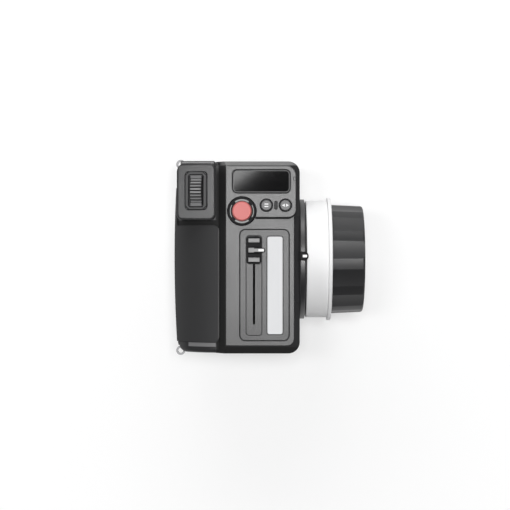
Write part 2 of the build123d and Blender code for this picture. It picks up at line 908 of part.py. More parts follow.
# Axle pressed into the wheel, turning in the pod's arms
with BuildPart() as dial_axle:
    with BuildSketch(dial_plane(-arm_outside - axle_grip)):
        Circle(axle_radius)
    extrude(amount=2 * arm_outside + axle_grip)
dial_axle.part.label = "dial_axle"
export_step(dial_axle.part, "parts/dial_axle.step")

# Rotary encoder on the outer arm
with BuildPart() as dial_encoder:
    with BuildSketch(dial_plane(-encoder_outside)):
        RectangleRounded(dial_encoder_size, dial_encoder_size, axle_radius)
        Circle(axle_radius + seat_gap, mode=Mode.SUBTRACT)
    extrude(amount=dial_encoder_width)
dial_encoder.part.label = "dial_encoder"
export_step(dial_encoder.part, "parts/dial_encoder.step")

# Plate around the display and the small buttons
plate_top = panel_z + plate_rise
plate_under = panel_z - plate_sink
glass_under = plate_top - glass_sink - glass_thickness
with BuildPart() as display_plate:
    with BuildSketch(Plane.XY.offset(plate_under)):
        add(plate_shape())
    extrude(amount=plate_sink + plate_rise)
    plate_rim = display_plate.faces().sort_by(Axis.Z)[-1].edges()
    bite_right = record_x + record_bezel_radius / 2
    fillet(plate_rim.filter_by(lambda e: e.center().X > bite_right), plate_edge_round)
    with BuildSketch(Plane.XY.offset(plate_top)):
        with Locations((glass_x, glass_y)):
            RectangleRounded(
                glass_width + 2 * glass_gap, glass_length + 2 * glass_gap, glass_corner + glass_gap
            )
    extrude(amount=glass_under - plate_top, mode=Mode.SUBTRACT)
    with BuildSketch(Plane.XY.offset(plate_under)):
        with Locations((glass_x, glass_y)):
            RectangleRounded(
                glass_width - 2 * display_rim, glass_length - 2 * display_rim, display_corner
            )
        with Locations(*small_button_places):
            Circle(small_button_hole)
    extrude(amount=plate_sink + plate_rise, mode=Mode.SUBTRACT)
    with BuildSketch(Plane.XY.offset(plate_top - status_thickness)):
        with Locations((status_x, small_button_y)):
            SlotOverall(status_length, status_width, rotation=90)
    extrude(amount=status_thickness, mode=Mode.SUBTRACT)
display_plate.part.label = "display_plate"
export_step(display_plate.part, "parts/display_plate.step")

# Dark glass over the display
with BuildPart() as display_window:
    with BuildSketch(Plane.XY.offset(glass_under)):
        with Locations((glass_x, glass_y)):
            RectangleRounded(glass_width, glass_length, glass_corner)
    extrude(amount=glass_thickness)
    fillet(display_window.faces().sort_by(Axis.Z)[-1].edges(), glass_edge_round)
display_window.part.label = "display_window"
export_step(display_window.part, "parts/display_window.step")

# Display module, standing on its board under the glass
with BuildPart() as display_panel:
    with BuildSketch(Plane.XY.offset(board_top)):
        with Locations((glass_x, glass_y)):
            RectangleRounded(
                glass_width - 2 * display_rim - 2 * seat_gap,
                glass_length - 2 * display_rim - 2 * seat_gap,
                display_corner - seat_gap,
            )
    extrude(amount=glass_under - board_top)
display_panel.part.label = "display_panel"
export_step(display_panel.part, "parts/display_panel.step")

# Smoked window of the status light
with BuildPart() as status_window:
    with BuildSketch(Plane.XY.offset(plate_top - status_thickness)):
        with Locations((status_x, small_button_y)):
            SlotOverall(status_length, status_width, rotation=90)
    extrude(amount=status_thickness - status_sink)
status_window.part.label = "status_window"
export_step(status_window.part, "parts/status_window.step")

# Levels of the record button's ring
bezel_top = panel_z + record_bezel_rise
bezel_under = panel_z - record_bezel_sink
dish_floor = bezel_top - record_dish_depth


def light_segment(inner, outer, angle, facing):
    """One lit arc around the record button, in the middle of the direction that it faces."""
    with BuildSketch() as segment:
        with BuildLine():
            outside = CenterArc((record_x, record_y), outer, facing - angle / 2, angle)
            inside = CenterArc((record_x, record_y), inner, facing - angle / 2, angle)
            Line(outside @ 0, inside @ 0)
            Line(outside @ 1, inside @ 1)
        make_face()
    return segment.sketch


# Four light guides let into the dish
with BuildPart() as record_light_ring:
    with BuildSketch(Plane.XY.offset(dish_floor - light_depth)):
        for facing in (90, 270):
            add(light_segment(light_inner, light_outer, light_wide_angle, facing))
        for facing in (0, 180):
            add(light_segment(light_outer - light_thin_width, light_outer, light_thin_angle, facing))
    extrude(amount=light_depth + light_proud)
record_light_ring.part.label = "record_light_ring"
export_step(record_light_ring.part, "parts/record_light_ring.step")

# Dished ring around the record button
with BuildPart() as record_bezel:
    with BuildSketch(Plane(origin=(record_x, record_y, 0), x_dir=(1, 0, 0), z_dir=(0, -1, 0))):
        with BuildLine():
            Polyline(
                (record_hole, bezel_under),
                (record_bezel_radius, bezel_under),
                (record_bezel_radius, bezel_top - record_bezel_edge),
                (record_bezel_radius - record_bezel_edge, bezel_top),
                (light_outer + 2 * light_margin, bezel_top),
                (light_outer + light_margin, dish_floor),
                (record_hole, dish_floor),
                close=True,
            )
        make_face()
    revolve(axis=Axis((record_x, record_y, 0), (0, 0, 1)))
    add(record_light_ring.part, mode=Mode.SUBTRACT)
record_bezel.part.label = "record_bezel"
export_step(record_bezel.part, "parts/record_bezel.step")

# Buttons that are pressed into the panel, each on its own switch
plunger_z = board_top + switch_height + plunger_height
stem_end = plunger_z + press_travel + seat_gap


def press_button(place, cap_radius, skirt_radius, under, top, edge):
    """A round button with a flange that keeps it under its plate, and a stem to its switch."""
    with BuildPart() as button:
        with BuildSketch(Plane.XY.offset(under - seat_gap)):
            with Locations(place):
                Circle(cap_radius)
        extrude(amount=top - under + seat_gap)
        fillet(button.faces().sort_by(Axis.Z)[-1].edges(), edge)
        with BuildSketch(Plane.XY.offset(under - seat_gap)):
            with Locations(place):
                Circle(skirt_radius)
        extrude(amount=-button_flange_thickness)
        with BuildSketch(Plane.XY.offset(stem_end)):
            with Locations(place):
                Circle(button_stem_radius)
        extrude(amount=under - seat_gap - button_flange_thickness - stem_end)
    return button


record_button = press_button(
    (record_x, record_y), record_radius, record_flange, bezel_under, panel_z + record_rise, record_edge
)
record_button.part.label = "record_button"
export_step(record_button.part, "parts/record_button.step")

small_button_top = plate_top + small_button_rise
menu_button, preset_button = [
    press_button(place, small_button_radius, small_flange, plate_under, small_button_top, button_edge)
    for place in small_button_places
]
menu_button.part.label = "menu_button"
export_step(menu_button.part, "parts/menu_button.step")
preset_button.part.label = "preset_button"
export_step(preset_button.part, "parts/preset_button.step")

# Power button in the end wall, pressed towards +Y
power_switch_y = power_switch_depth / 2 - main_board_half
power_stem_y = -main_board_half - plunger_height - press_travel - seat_gap
with BuildPart() as power_button:
    with BuildSketch(Plane.XZ.offset(body_half)):
        with Locations((power_x, power_z)):
            Circle(power_radius)
    extrude(amount=-body_wall - seat_gap)
    fillet(power_button.faces().sort_by(Axis.Y)[0].edges(), button_edge)
    with BuildSketch(Plane.XZ.offset(body_half - body_wall - seat_gap)):
        with Locations((power_x, power_z)):
            Circle(power_radius + button_flange)
    extrude(amount=-button_flange_thickness)
    with BuildSketch(Plane.XZ.offset(body_half - body_wall - seat_gap - button_flange_thickness)):
        with Locations((power_x, power_z)):
            Circle(button_stem_radius)
    extrude(amount=-power_stem_y - body_half + body_wall + seat_gap + button_flange_thickness)
power_button.part.label = "power_button"
export_step(power_button.part, "parts/power_button.step")

# Switches under the buttons: three on the control board and one on the main board
with BuildPart() as tactile_switches:
    with BuildSketch(Plane.XY.offset(board_top)):
        with Locations((record_x, record_y), *small_button_places):
            Rectangle(switch_size, switch_size)
    extrude(amount=switch_height)
    with BuildSketch(Plane.XY.offset(board_top + switch_height)):
        with Locations((record_x, record_y), *small_button_places):
            Circle(plunger_radius)
    extrude(amount=plunger_height)
    with BuildSketch(Plane.XY.offset(main_board_z + circuit_thickness)):
        with Locations((power_x, power_switch_y)):
            Rectangle(switch_size, power_switch_depth)
    extrude(amount=power_z + plunger_radius - main_board_z - circuit_thickness)
    with BuildSketch(Plane.XZ.offset(main_board_half)):
        with Locations((power_x, power_z)):
            Circle(plunger_radius)
    extrude(amount=plunger_height)
tactile_switches.part.label = "tactile_switches"
export_step(tactile_switches.part, "parts/tactile_switches.step")

# Board under the display and the buttons
with BuildPart() as control_board:
    with BuildSketch(Plane.XY.offset(board_top - circuit_thickness)):
        middle = ((board_left + board_right) / 2, (control_board_bottom + board_far) / 2)
        with Locations(middle):
            Rectangle(board_right - board_left, board_far - control_board_bottom)
        with Locations(*board_post_places):
            Circle(small_screw_radius + seat_gap, mode=Mode.SUBTRACT)
    extrude(amount=circuit_thickness)
control_board.part.label = "control_board"
export_step(control_board.part, "parts/control_board.step")

# Main board on the rear cover's posts, with a tongue that carries the charging port
with BuildPart() as main_board:
    with BuildSketch(Plane.XY.offset(main_board_z)):
        with Locations((main_board_left, 0)):
            Rectangle(
                main_board_right - main_board_left,
                2 * main_board_half,
                align=(Align.MIN, Align.CENTER),
            )
        with Locations((usb_x, -main_board_half)):
            Rectangle(
                usb_tongue,
                body_half - body_wall - main_board_half - seat_gap,
                align=(Align.CENTER, Align.MAX),
            )
        with Locations(*main_post_places):
            Circle(small_screw_radius + seat_gap, mode=Mode.SUBTRACT)
    extrude(amount=circuit_thickness)
main_board.part.label = "main_board"
export_step(main_board.part, "parts/main_board.step")

# Small screws of the two boards
with BuildPart() as board_screws:
    for places, seat_z, outward in (
        (board_post_places, board_top - circuit_thickness, -1),
        (main_post_places, main_board_z + circuit_thickness, 1),
    ):
        with BuildSketch(Plane.XY.offset(seat_z)):
            with Locations(*places):
                Circle(small_screw_head_radius)
        extrude(amount=outward * small_screw_head)
        with BuildSketch(Plane.XY.offset(seat_z)):
            with Locations(*places):
                Circle(small_screw_radius)
        extrude(amount=-outward * (circuit_thickness + small_screw_reach))
board_screws.part.label = "board_screws"
export_step(board_screws.part, "parts/board_screws.step")

# Screened radio module on the main board
with BuildPart() as radio_module:
    with BuildSketch(Plane.XY.offset(main_board_z + circuit_thickness)):
        with Locations((radio_x, radio_y)):
            RectangleRounded(radio_width, radio_length, seat_gap)
    extrude(amount=radio_height)
    fillet(radio_module.faces().sort_by(Axis.Z)[-1].edges(), button_edge)
radio_module.part.label = "radio_module"
export_step(radio_module.part, "parts/radio_module.step")

# Charging port
with BuildPart() as usb_port:
    with BuildSketch(Plane.XZ.offset(body_half - usb_sink)):
        with Locations((usb_x, usb_z)):
            SlotOverall(usb_width, usb_height)
    extrude(amount=-usb_depth)
    with BuildSketch(Plane.XZ.offset(body_half - usb_sink)):
        with Locations((usb_x, usb_z)):
            SlotOverall(usb_width - 2 * usb_wall, usb_height - 2 * usb_wall)
    extrude(amount=-usb_depth + 2 * usb_wall, mode=Mode.SUBTRACT)
    with BuildSketch(Plane.XZ.offset(body_half - usb_sink - 2 * usb_wall)):
        with Locations((usb_x, usb_z)):
            Rectangle(usb_width - usb_height, usb_tongue_thickness)
    extrude(amount=-usb_depth + 4 * usb_wall)
usb_port.part.label = "usb_port"
export_step(usb_port.part, "parts/usb_port.step")

# Threaded bush for a tripod screw or an accessory
with BuildPart() as tripod_bush:
    with BuildSketch(Plane.XZ.offset(body_half)):
        with Locations((battery_x, knob_z)):
            Circle(tripod_outer_radius)
            Circle(tripod_hole_radius, mode=Mode.SUBTRACT)
    extrude(amount=-tripod_length)
tripod_bush.part.label = "tripod_bush"
export_step(tripod_bush.part, "parts/tripod_bush.step")

# Inlaid plate with the fader's track and the strip's bed
strip_y = strip_top - strip_length / 2
with BuildPart() as slider_plate:
    with BuildSketch(Plane.XY.offset(panel_z - slider_thickness)):
        add(rounded_patch(slider_left, slider_right, slider_bottom, slider_top, slider_corner))
    extrude(amount=slider_thickness)
    with BuildSketch(Plane.XY.offset(panel_z)):
        with Locations((track_x, fader_middle_y)):
            RectangleRounded(track_width, track_length, track_corner)
    extrude(amount=-track_depth, mode=Mode.SUBTRACT)
    with BuildSketch(Plane.XY.offset(panel_z)):
        with Locations((strip_x, strip_y)):
            RectangleRounded(
                strip_width + 2 * strip_gap, strip_length + 2 * strip_gap, strip_corner + strip_gap
            )
    extrude(amount=-strip_thickness, mode=Mode.SUBTRACT)
    with BuildSketch(Plane.XY.offset(panel_z)):
        with Locations((track_x, fader_middle_y)):
            Rectangle(slot_width, slot_length)
    extrude(amount=-slider_thickness, mode=Mode.SUBTRACT)
slider_plate.part.label = "slider_plate"
export_step(slider_plate.part, "parts/slider_plate.step")

# White strip to write marks on
with BuildPart() as marking_strip:
    with BuildSketch(Plane.XY.offset(panel_z - strip_thickness)):
        with Locations((strip_x, strip_y)):
            RectangleRounded(strip_width, strip_length, strip_corner)
    extrude(amount=strip_thickness)
marking_strip.part.label = "marking_strip"
export_step(marking_strip.part, "parts/marking_strip.step")

# Slide potentiometer under the panel
channel_length = fader_travel + fader_foot_length + 2 * running_gap
channel_roof_z = panel_under - fader_channel_roof
with BuildPart() as fader_body:
    with BuildSketch(Plane.XY.offset(panel_under)):
        with Locations((track_x, fader_middle_y)):
            Rectangle(fader_body_width, fader_travel + 2 * fader_body_end)
    extrude(amount=-fader_body_depth)
    with BuildSketch(Plane.XY.offset(panel_under)):
        with Locations((track_x, fader_middle_y)):
            Rectangle(slot_width, slot_length)
    extrude(amount=-fader_channel_roof, mode=Mode.SUBTRACT)
    with BuildSketch(Plane.XY.offset(channel_roof_z)):
        with Locations((track_x, fader_middle_y)):
            Rectangle(fader_channel_width, channel_length)
    extrude(amount=-fader_channel_depth, mode=Mode.SUBTRACT)
fader_body.part.label = "fader_body"
export_step(fader_body.part, "parts/fader_body.step")

# Lever on the slider's foot
lever_top = panel_z + cap_dip_rise - lever_cover
with BuildPart() as fader_lever:
    with BuildSketch(Plane.XY.offset(channel_roof_z - fader_channel_depth + running_gap)):
        with Locations((track_x, fader_rest_y)):
            Rectangle(fader_channel_width - 2 * running_gap, fader_foot_length)
    extrude(amount=fader_channel_depth - 2 * running_gap)
    with BuildSketch(Plane.XY.offset(channel_roof_z - running_gap)):
        with Locations((track_x, fader_rest_y)):
            Rectangle(fader_lever_width, fader_lever_length)
    extrude(amount=lever_top - channel_roof_z + running_gap)
fader_lever.part.label = "fader_lever"
export_step(fader_lever.part, "parts/fader_lever.step")

# Pointer tongue that reaches from the cap to the strip
pointer_top = panel_z + cap_ridge_rise + pointer_proud
with BuildPart() as fader_pointer:
    with BuildSketch(Plane.XY.offset(pointer_top - pointer_thickness)):
        with Locations((track_x, fader_rest_y)):
            Rectangle(
                fader_pointer_reach - pointer_width / 2, pointer_width, align=(Align.MIN, Align.CENTER)
            )
        with Locations((track_x + fader_pointer_reach - pointer_width / 2, fader_rest_y)):
            Circle(pointer_width / 2)
    extrude(amount=pointer_thickness)
    fillet(fader_pointer.faces().sort_by(Axis.Z)[-1].edges().filter_by(GeomType.CIRCLE), pointer_edge)
fader_pointer.part.label = "fader_pointer"
export_step(fader_pointer.part, "parts/fader_pointer.step")

# Saddle-shaped cap, pressed on the lever
with BuildPart() as fader_cap:
    with BuildSketch(Plane.XY.offset(panel_z - track_depth + running_gap)):
        with Locations((track_x, fader_rest_y)):
            RectangleRounded(track_width - 2 * sliding_gap, cap_length, track_corner)
    extrude(amount=cap_base_rise + track_depth - running_gap)
    with BuildSketch(Plane.YZ.offset(track_x)):
        with BuildLine():
            end = cap_length / 2 - cap_border
            half_line = Polyline(
                (fader_rest_y, panel_z),
                (fader_rest_y + end, panel_z),
                (fader_rest_y + end, panel_z + cap_base_rise),
                (fader_rest_y + cap_facet_end, panel_z + cap_end_rise),
                (fader_rest_y + cap_facet_half, panel_z + cap_end_rise),
            )
            dip_start = (fader_rest_y + cap_ridge_half + cap_ridge_slope, panel_z + cap_dip_rise)
            facet_foot = (fader_rest_y + cap_facet_half - cap_ridge_slope, panel_z + cap_dip_rise)
            Line(half_line @ 1, facet_foot)
            ridge_end = (fader_rest_y + cap_ridge_half, panel_z + cap_ridge_rise)
            ridge_middle = (fader_rest_y, panel_z + cap_ridge_rise)
            Polyline(facet_foot, dip_start, ridge_end, ridge_middle, half_line @ 0)
        make_face()
        mirror(about=Plane.YZ.offset(fader_rest_y))
    extrude(amount=cap_saddle_width / 2, both=True)
    add(fader_lever.part, mode=Mode.SUBTRACT)
    add(fader_pointer.part, mode=Mode.SUBTRACT)
fader_cap.part.label = "fader_cap"
export_step(fader_cap.part, "parts/fader_cap.step")

# Fixed ring that the knob turns on, with a spigot for its bearings
spigot_end = body_right - spigot_length
rear_bearing = spigot_end + spigot_shoulder
front_bearing = base_face - bearing_sink - bearing_width
bearing_seat = bearing_radius + press_gap
drag_floor = base_face + drag_proud - drag_thickness
with BuildPart() as knob_base:
    with BuildSketch(knob_half(0)):
        with BuildLine():
            Polyline(
                (spigot_end, bearing_radius - bearing_land),
                (spigot_end, spigot_radius),
                (body_right, spigot_radius),
                (body_right, base_radius),
                (base_face, base_radius),
                (base_face, drag_outer + seat_gap),
                (drag_floor, drag_outer + seat_gap),
                (drag_floor, drag_inner - seat_gap),
                (base_face, drag_inner - seat_gap),
                (base_face, bearing_seat),
                (rear_bearing, bearing_seat),
                (rear_bearing, bearing_radius - bearing_land),
                close=True,
            )
        make_face()
    revolve(axis=knob_axis)
    rim_edges = knob_base.edges().filter_by(GeomType.CIRCLE).sort_by(SortBy.LENGTH)[-2:]
    fillet(rim_edges, base_edge)
    with BuildSketch(knob_plane(body_right)):
        with Locations((index_offset, base_radius - index_seat)):
            Rectangle(index_width, 2 * index_seat, align=(Align.CENTER, Align.MIN))
    extrude(amount=base_thickness, mode=Mode.SUBTRACT)
    with BuildSketch(knob_plane(base_face)):
        with Locations((0, -stop_radius)):
            Circle(stop_pin_radius)
        with Locations(*base_screw_places):
            Circle(screw_radius + seat_gap)
    extrude(amount=-base_thickness, mode=Mode.SUBTRACT)
    with BuildSketch(knob_plane(base_face)):
        with Locations(*base_screw_places):
            Circle(screw_head_radius + seat_gap)
    extrude(amount=-screw_head_depth, mode=Mode.SUBTRACT)
knob_base.part.label = "knob_base"
export_step(knob_base.part, "parts/knob_base.step")

# Screws that hold the fixed ring to the case
with BuildPart() as base_screws:
    with BuildSketch(knob_plane(base_face)):
        with Locations(*base_screw_places):
            Circle(screw_head_radius)
    extrude(amount=-screw_head_depth)
    with BuildSketch(knob_plane(base_face)):
        with Locations(*base_screw_places):
            RegularPolygon(driver_radius, 6)
    extrude(amount=-driver_depth, mode=Mode.SUBTRACT)
    with BuildSketch(knob_plane(base_face - screw_head_depth)):
        with Locations(*base_screw_places):
            Circle(screw_radius)
    extrude(amount=screw_head_depth - base_thickness - body_wall - screw_boss_radius)
base_screws.part.label = "base_screws"
export_step(base_screws.part, "parts/base_screws.step")

# Pointer tongue on top of the fixed ring
index_z = knob_z + base_radius - index_seat
index_high = knob_z + max(ring_radius, base_radius - index_seat) + running_gap
index_y = knob_offset + index_offset
index_end = ring_back + index_tip
with BuildPart() as index_pointer:
    with BuildSketch(Plane.XY.offset(index_z)):
        with Locations((body_right, index_y)):
            Rectangle(base_thickness, index_width, align=(Align.MIN, Align.CENTER))
    extrude(amount=index_high - index_z)
    with BuildSketch(Plane.XY.offset(index_high)):
        with Locations((body_right - index_overlap, index_y)):
            Rectangle(
                index_end - index_width / 2 - body_right + index_overlap,
                index_width,
                align=(Align.MIN, Align.CENTER),
            )
        with Locations((index_end - index_width / 2, index_y)):
            Circle(index_width / 2)
    extrude(amount=index_thickness)
    fillet(index_pointer.faces().sort_by(Axis.Z)[-1].edges(), pointer_edge)
index_pointer.part.label = "index_pointer"
export_step(index_pointer.part, "parts/index_pointer.step")

# Pin that stops the knob at both ends of its turn
with BuildPart() as stop_pin:
    with BuildSketch(knob_plane(body_right)):
        with Locations((0, -stop_radius)):
            Circle(stop_pin_radius)
    extrude(amount=base_thickness + stop_pin_reach)
stop_pin.part.label = "stop_pin"
export_step(stop_pin.part, "parts/stop_pin.step")

# Damping washer between the fixed ring and the hub
with BuildPart() as drag_washer:
    with BuildSketch(knob_plane(drag_floor)):
        Circle(drag_outer)
        Circle(drag_inner, mode=Mode.SUBTRACT)
    extrude(amount=drag_thickness)
drag_washer.part.label = "drag_washer"
export_step(drag_washer.part, "parts/drag_washer.step")

# Two ball bearings in the spigot
with BuildPart() as shaft_bearings:
    for start in (rear_bearing, front_bearing):
        with BuildSketch(knob_plane(start)):
            Circle(bearing_radius)
            Circle(bearing_bore, mode=Mode.SUBTRACT)
        extrude(amount=bearing_width)
shaft_bearings.part.label = "shaft_bearings"
export_step(shaft_bearings.part, "parts/shaft_bearings.step")

# Shaft that carries the knob
shaft_radius = bearing_bore - shaft_gap
shaft_end = spigot_end + sensor_gap + magnet_thickness
clip_start = rear_bearing - seat_gap - clip_thickness
hub_front = ring_front
with BuildPart() as knob_shaft:
    with BuildSketch(knob_plane(shaft_end)):
        Circle(shaft_radius)
    extrude(amount=hub_front - shaft_end)
    with BuildSketch(knob_plane(front_bearing + bearing_width + seat_gap)):
        Circle(shaft_collar)
    extrude(amount=hub_back - front_bearing - bearing_width - seat_gap)
    with BuildSketch(knob_plane(clip_start)):
        Circle(shaft_radius)
        Circle(shaft_radius - clip_seat, mode=Mode.SUBTRACT)
    extrude(amount=clip_thickness, mode=Mode.SUBTRACT)
    with BuildSketch(knob_plane(hub_front)):
        Circle(screw_radius)
    extrude(amount=-screw_reach, mode=Mode.SUBTRACT)
knob_shaft.part.label = "knob_shaft"
export_step(knob_shaft.part, "parts/knob_shaft.step")

# Spring clip that keeps the shaft in its bearings
with BuildPart() as retaining_clip:
    with BuildSketch(knob_plane(clip_start)):
        Circle(clip_radius)
        Circle(shaft_radius - clip_seat, mode=Mode.SUBTRACT)
        with Locations((0, -clip_radius)):
            Rectangle(clip_opening, 2 * clip_radius - shaft_radius, mode=Mode.SUBTRACT)
    extrude(amount=clip_thickness)
retaining_clip.part.label = "retaining_clip"
export_step(retaining_clip.part, "parts/retaining_clip.step")

# Magnet on the shaft's end
with BuildPart() as encoder_magnet:
    with BuildSketch(knob_plane(shaft_end)):
        Circle(magnet_radius)
    extrude(amount=-magnet_thickness)
encoder_magnet.part.label = "encoder_magnet"
export_step(encoder_magnet.part, "parts/encoder_magnet.step")

# Board that senses how far the magnet turns
with BuildPart() as encoder_board:
    with BuildSketch(knob_plane(spigot_end)):
        RectangleRounded(sensor_board_size, sensor_board_size, body_wall)
    extrude(amount=-circuit_thickness)
    with BuildSketch(knob_plane(spigot_end)):
        Rectangle(switch_size, switch_size)
    extrude(amount=sensor_gap / 2)
encoder_board.part.label = "encoder_board"
export_step(encoder_board.part, "parts/encoder_board.step")

# Places on the knob's hub
ring_bore = ring_radius - ring_wall
hub_radius = ring_bore - running_gap
web_front = hub_back + hub_web
pin_half_angle = degrees(stop_pin_radius / stop_radius)
lug_half_angle = 180 - turn_limit - pin_half_angle - stop_spare


def magnet_bed(turn):
    """The floor of one magnet's pocket in the hub's rim, facing outwards."""
    facing = knob_half(360 / ring_magnet_count * (turn + 0.5))
    floor_radius = hub_radius - ring_magnet_depth - seat_gap
    floor_middle = facing.from_local_coords(((ring_back + ring_front) / 2, floor_radius, 0))
    return Plane(origin=floor_middle, x_dir=(1, 0, 0), z_dir=facing.y_dir)


# Hub: a web with the stop groove, a rim that the marking ring slides on, and a boss for the shaft
with BuildPart() as knob_hub:
    with BuildSketch(knob_half(0)):
        with BuildLine():
            Polyline(
                (hub_back, shaft_radius),
                (hub_back, neck_radius),
                (ring_back - seat_gap, neck_radius),
                (ring_back - seat_gap, hub_radius),
                (hub_front, hub_radius),
                (hub_front, hub_radius - hub_rim),
                (web_front, hub_radius - hub_rim),
                (web_front, hub_boss_radius),
                (hub_front, hub_boss_radius),
                (hub_front, shaft_radius),
                close=True,
            )
        make_face()
    revolve(axis=knob_axis)
    with BuildSketch(knob_plane(web_front)):
        with PolarLocations(knob_screw_circle, knob_screw_count, start_angle=90):
            Circle(screw_boss_radius)
    extrude(amount=hub_front - web_front)
    with BuildSketch(knob_plane(hub_front)):
        with PolarLocations(knob_screw_circle, knob_screw_count, start_angle=90):
            Circle(screw_radius)
    extrude(amount=-screw_reach, mode=Mode.SUBTRACT)
    with BuildSketch(knob_half(-lug_half_angle)):
        with Locations((hub_back, stop_radius)):
            Rectangle(stop_groove_depth, 2 * stop_groove_half, align=(Align.MIN, Align.CENTER))
    revolve(axis=knob_axis, revolution_arc=360 - 2 * lug_half_angle, mode=Mode.SUBTRACT)
    for turn in range(ring_magnet_count):
        with BuildSketch(magnet_bed(turn)):
            Circle(ring_magnet_radius)
        extrude(amount=2 * ring_magnet_depth, mode=Mode.SUBTRACT)
knob_hub.part.label = "knob_hub"
export_step(knob_hub.part, "parts/knob_hub.step")

# Magnets in the hub's rim that hold the marking ring
with BuildPart() as ring_magnets:
    for turn in range(ring_magnet_count):
        with BuildSketch(magnet_bed(turn)):
            Circle(ring_magnet_radius)
        extrude(amount=ring_magnet_depth - seat_gap)
ring_magnets.part.label = "ring_magnets"
export_step(ring_magnets.part, "parts/ring_magnets.step")

# Screw that holds the hub on the shaft
with BuildPart() as hub_screw:
    with BuildSketch(knob_plane(hub_front)):
        Circle(hub_boss_radius - screw_radius)
    extrude(amount=screw_head_depth)
    with BuildSketch(knob_plane(hub_front + screw_head_depth)):
        RegularPolygon(2 * driver_radius, 6)
    extrude(amount=-driver_depth, mode=Mode.SUBTRACT)
    with BuildSketch(knob_plane(hub_front)):
        Circle(screw_radius)
    extrude(amount=-screw_reach)
hub_screw.part.label = "hub_screw"
export_step(hub_screw.part, "parts/hub_screw.step")

# White ring to write focus marks on, which pulls off over the knob
flange_start = ring_front - flange_thickness
with BuildPart() as marking_ring:
    with BuildSketch(knob_half(0)):
        with BuildLine():
            Polyline(
                (ring_back, ring_bore),
                (ring_back, ring_radius - ring_edge),
                (ring_back + ring_edge, ring_radius),
                (flange_start, ring_radius),
                (flange_start + ring_edge, flange_radius),
                (ring_front - ring_edge, flange_radius),
                (ring_front, flange_radius - ring_edge),
                (ring_front, ring_bore),
                close=True,
            )
        make_face()
    revolve(axis=knob_axis)
marking_ring.part.label = "marking_ring"
export_step(marking_ring.part, "parts/marking_ring.step")

# Fluted focus knob, open at its outer end
knob_end_radius = knob_radius - knob_taper
web_end = hub_front + knob_web
cap_bed = knob_front - end_cap_thickness - end_cap_sink
chord_half = knob_radius * sin(radians(flute_angle / 2))
chord_sag = knob_radius - sqrt(knob_radius**2 - chord_half**2)
flute_sag = flute_depth - chord_sag
flute_radius = (chord_half**2 + flute_sag**2) / (2 * flute_sag)
flute_centre = knob_radius - flute_depth + flute_radius
rim_cut = knob_edge_round * (1 - cos(radians(45)))
with BuildPart() as focus_knob:
    with BuildSketch(knob_half(0)):
        with BuildLine():
            side_end = (knob_front - knob_edge_round, knob_end_radius)
            rim_middle = (knob_front - rim_cut, knob_end_radius - rim_cut)
            face_start = (knob_front, knob_end_radius - knob_edge_round)
            ThreePointArc(side_end, rim_middle, face_start)
            Polyline(
                face_start,
                (knob_front, end_cap_radius + seat_gap),
                (cap_bed, end_cap_radius + seat_gap),
                (cap_bed, knob_end_radius - knob_wall - knob_lip),
                (cap_bed - knob_lip, knob_end_radius - knob_wall - knob_lip),
                (cap_bed - 2 * knob_lip, knob_end_radius - knob_wall),
                (web_end, knob_end_radius - knob_wall),
                (web_end, hub_boss_radius),
                (hub_front, hub_boss_radius),
                (hub_front, knob_radius),
                side_end,
            )
        make_face()
    revolve(axis=knob_axis)
    with Locations(knob_plane(hub_front)):
        with PolarLocations(flute_centre, flute_count, start_angle=180 / flute_count + flute_turn):
            Cone(
                flute_radius,
                flute_radius + knob_taper,
                knob_length,
                align=(Align.CENTER, Align.CENTER, Align.MIN),
                mode=Mode.SUBTRACT,
            )
    with BuildSketch(knob_plane(hub_front)):
        with PolarLocations(knob_screw_circle, knob_screw_count, start_angle=90):
            Circle(screw_radius + seat_gap)
    extrude(amount=knob_web, mode=Mode.SUBTRACT)
focus_knob.part.label = "focus_knob"
export_step(focus_knob.part, "parts/focus_knob.step")

# Screws that hold the knob to the hub
with BuildPart() as knob_screws:
    with BuildSketch(knob_plane(web_end)):
        with PolarLocations(knob_screw_circle, knob_screw_count, start_angle=90):
            Circle(screw_head_radius)
    extrude(amount=screw_head_depth)
    with BuildSketch(knob_plane(web_end + screw_head_depth)):
        with PolarLocations(knob_screw_circle, knob_screw_count, start_angle=90):
            RegularPolygon(driver_radius, 6)
    extrude(amount=-driver_depth, mode=Mode.SUBTRACT)
    with BuildSketch(knob_plane(web_end)):
        with PolarLocations(knob_screw_circle, knob_screw_count, start_angle=90):
            Circle(screw_radius)
    extrude(amount=-knob_web - screw_reach)
knob_screws.part.label = "knob_screws"
export_step(knob_screws.part, "parts/knob_screws.step")

# Disc that closes the knob's outer end
with BuildPart() as knob_end_cap:
    with BuildSketch(knob_plane(cap_bed)):
        Circle(end_cap_radius)
    extrude(amount=end_cap_thickness)
    fillet(knob_end_cap.faces().sort_by(Axis.X)[-1].edges(), base_edge)
knob_end_cap.part.label = "knob_end_cap"
export_step(knob_end_cap.part, "parts/knob_end_cap.step")

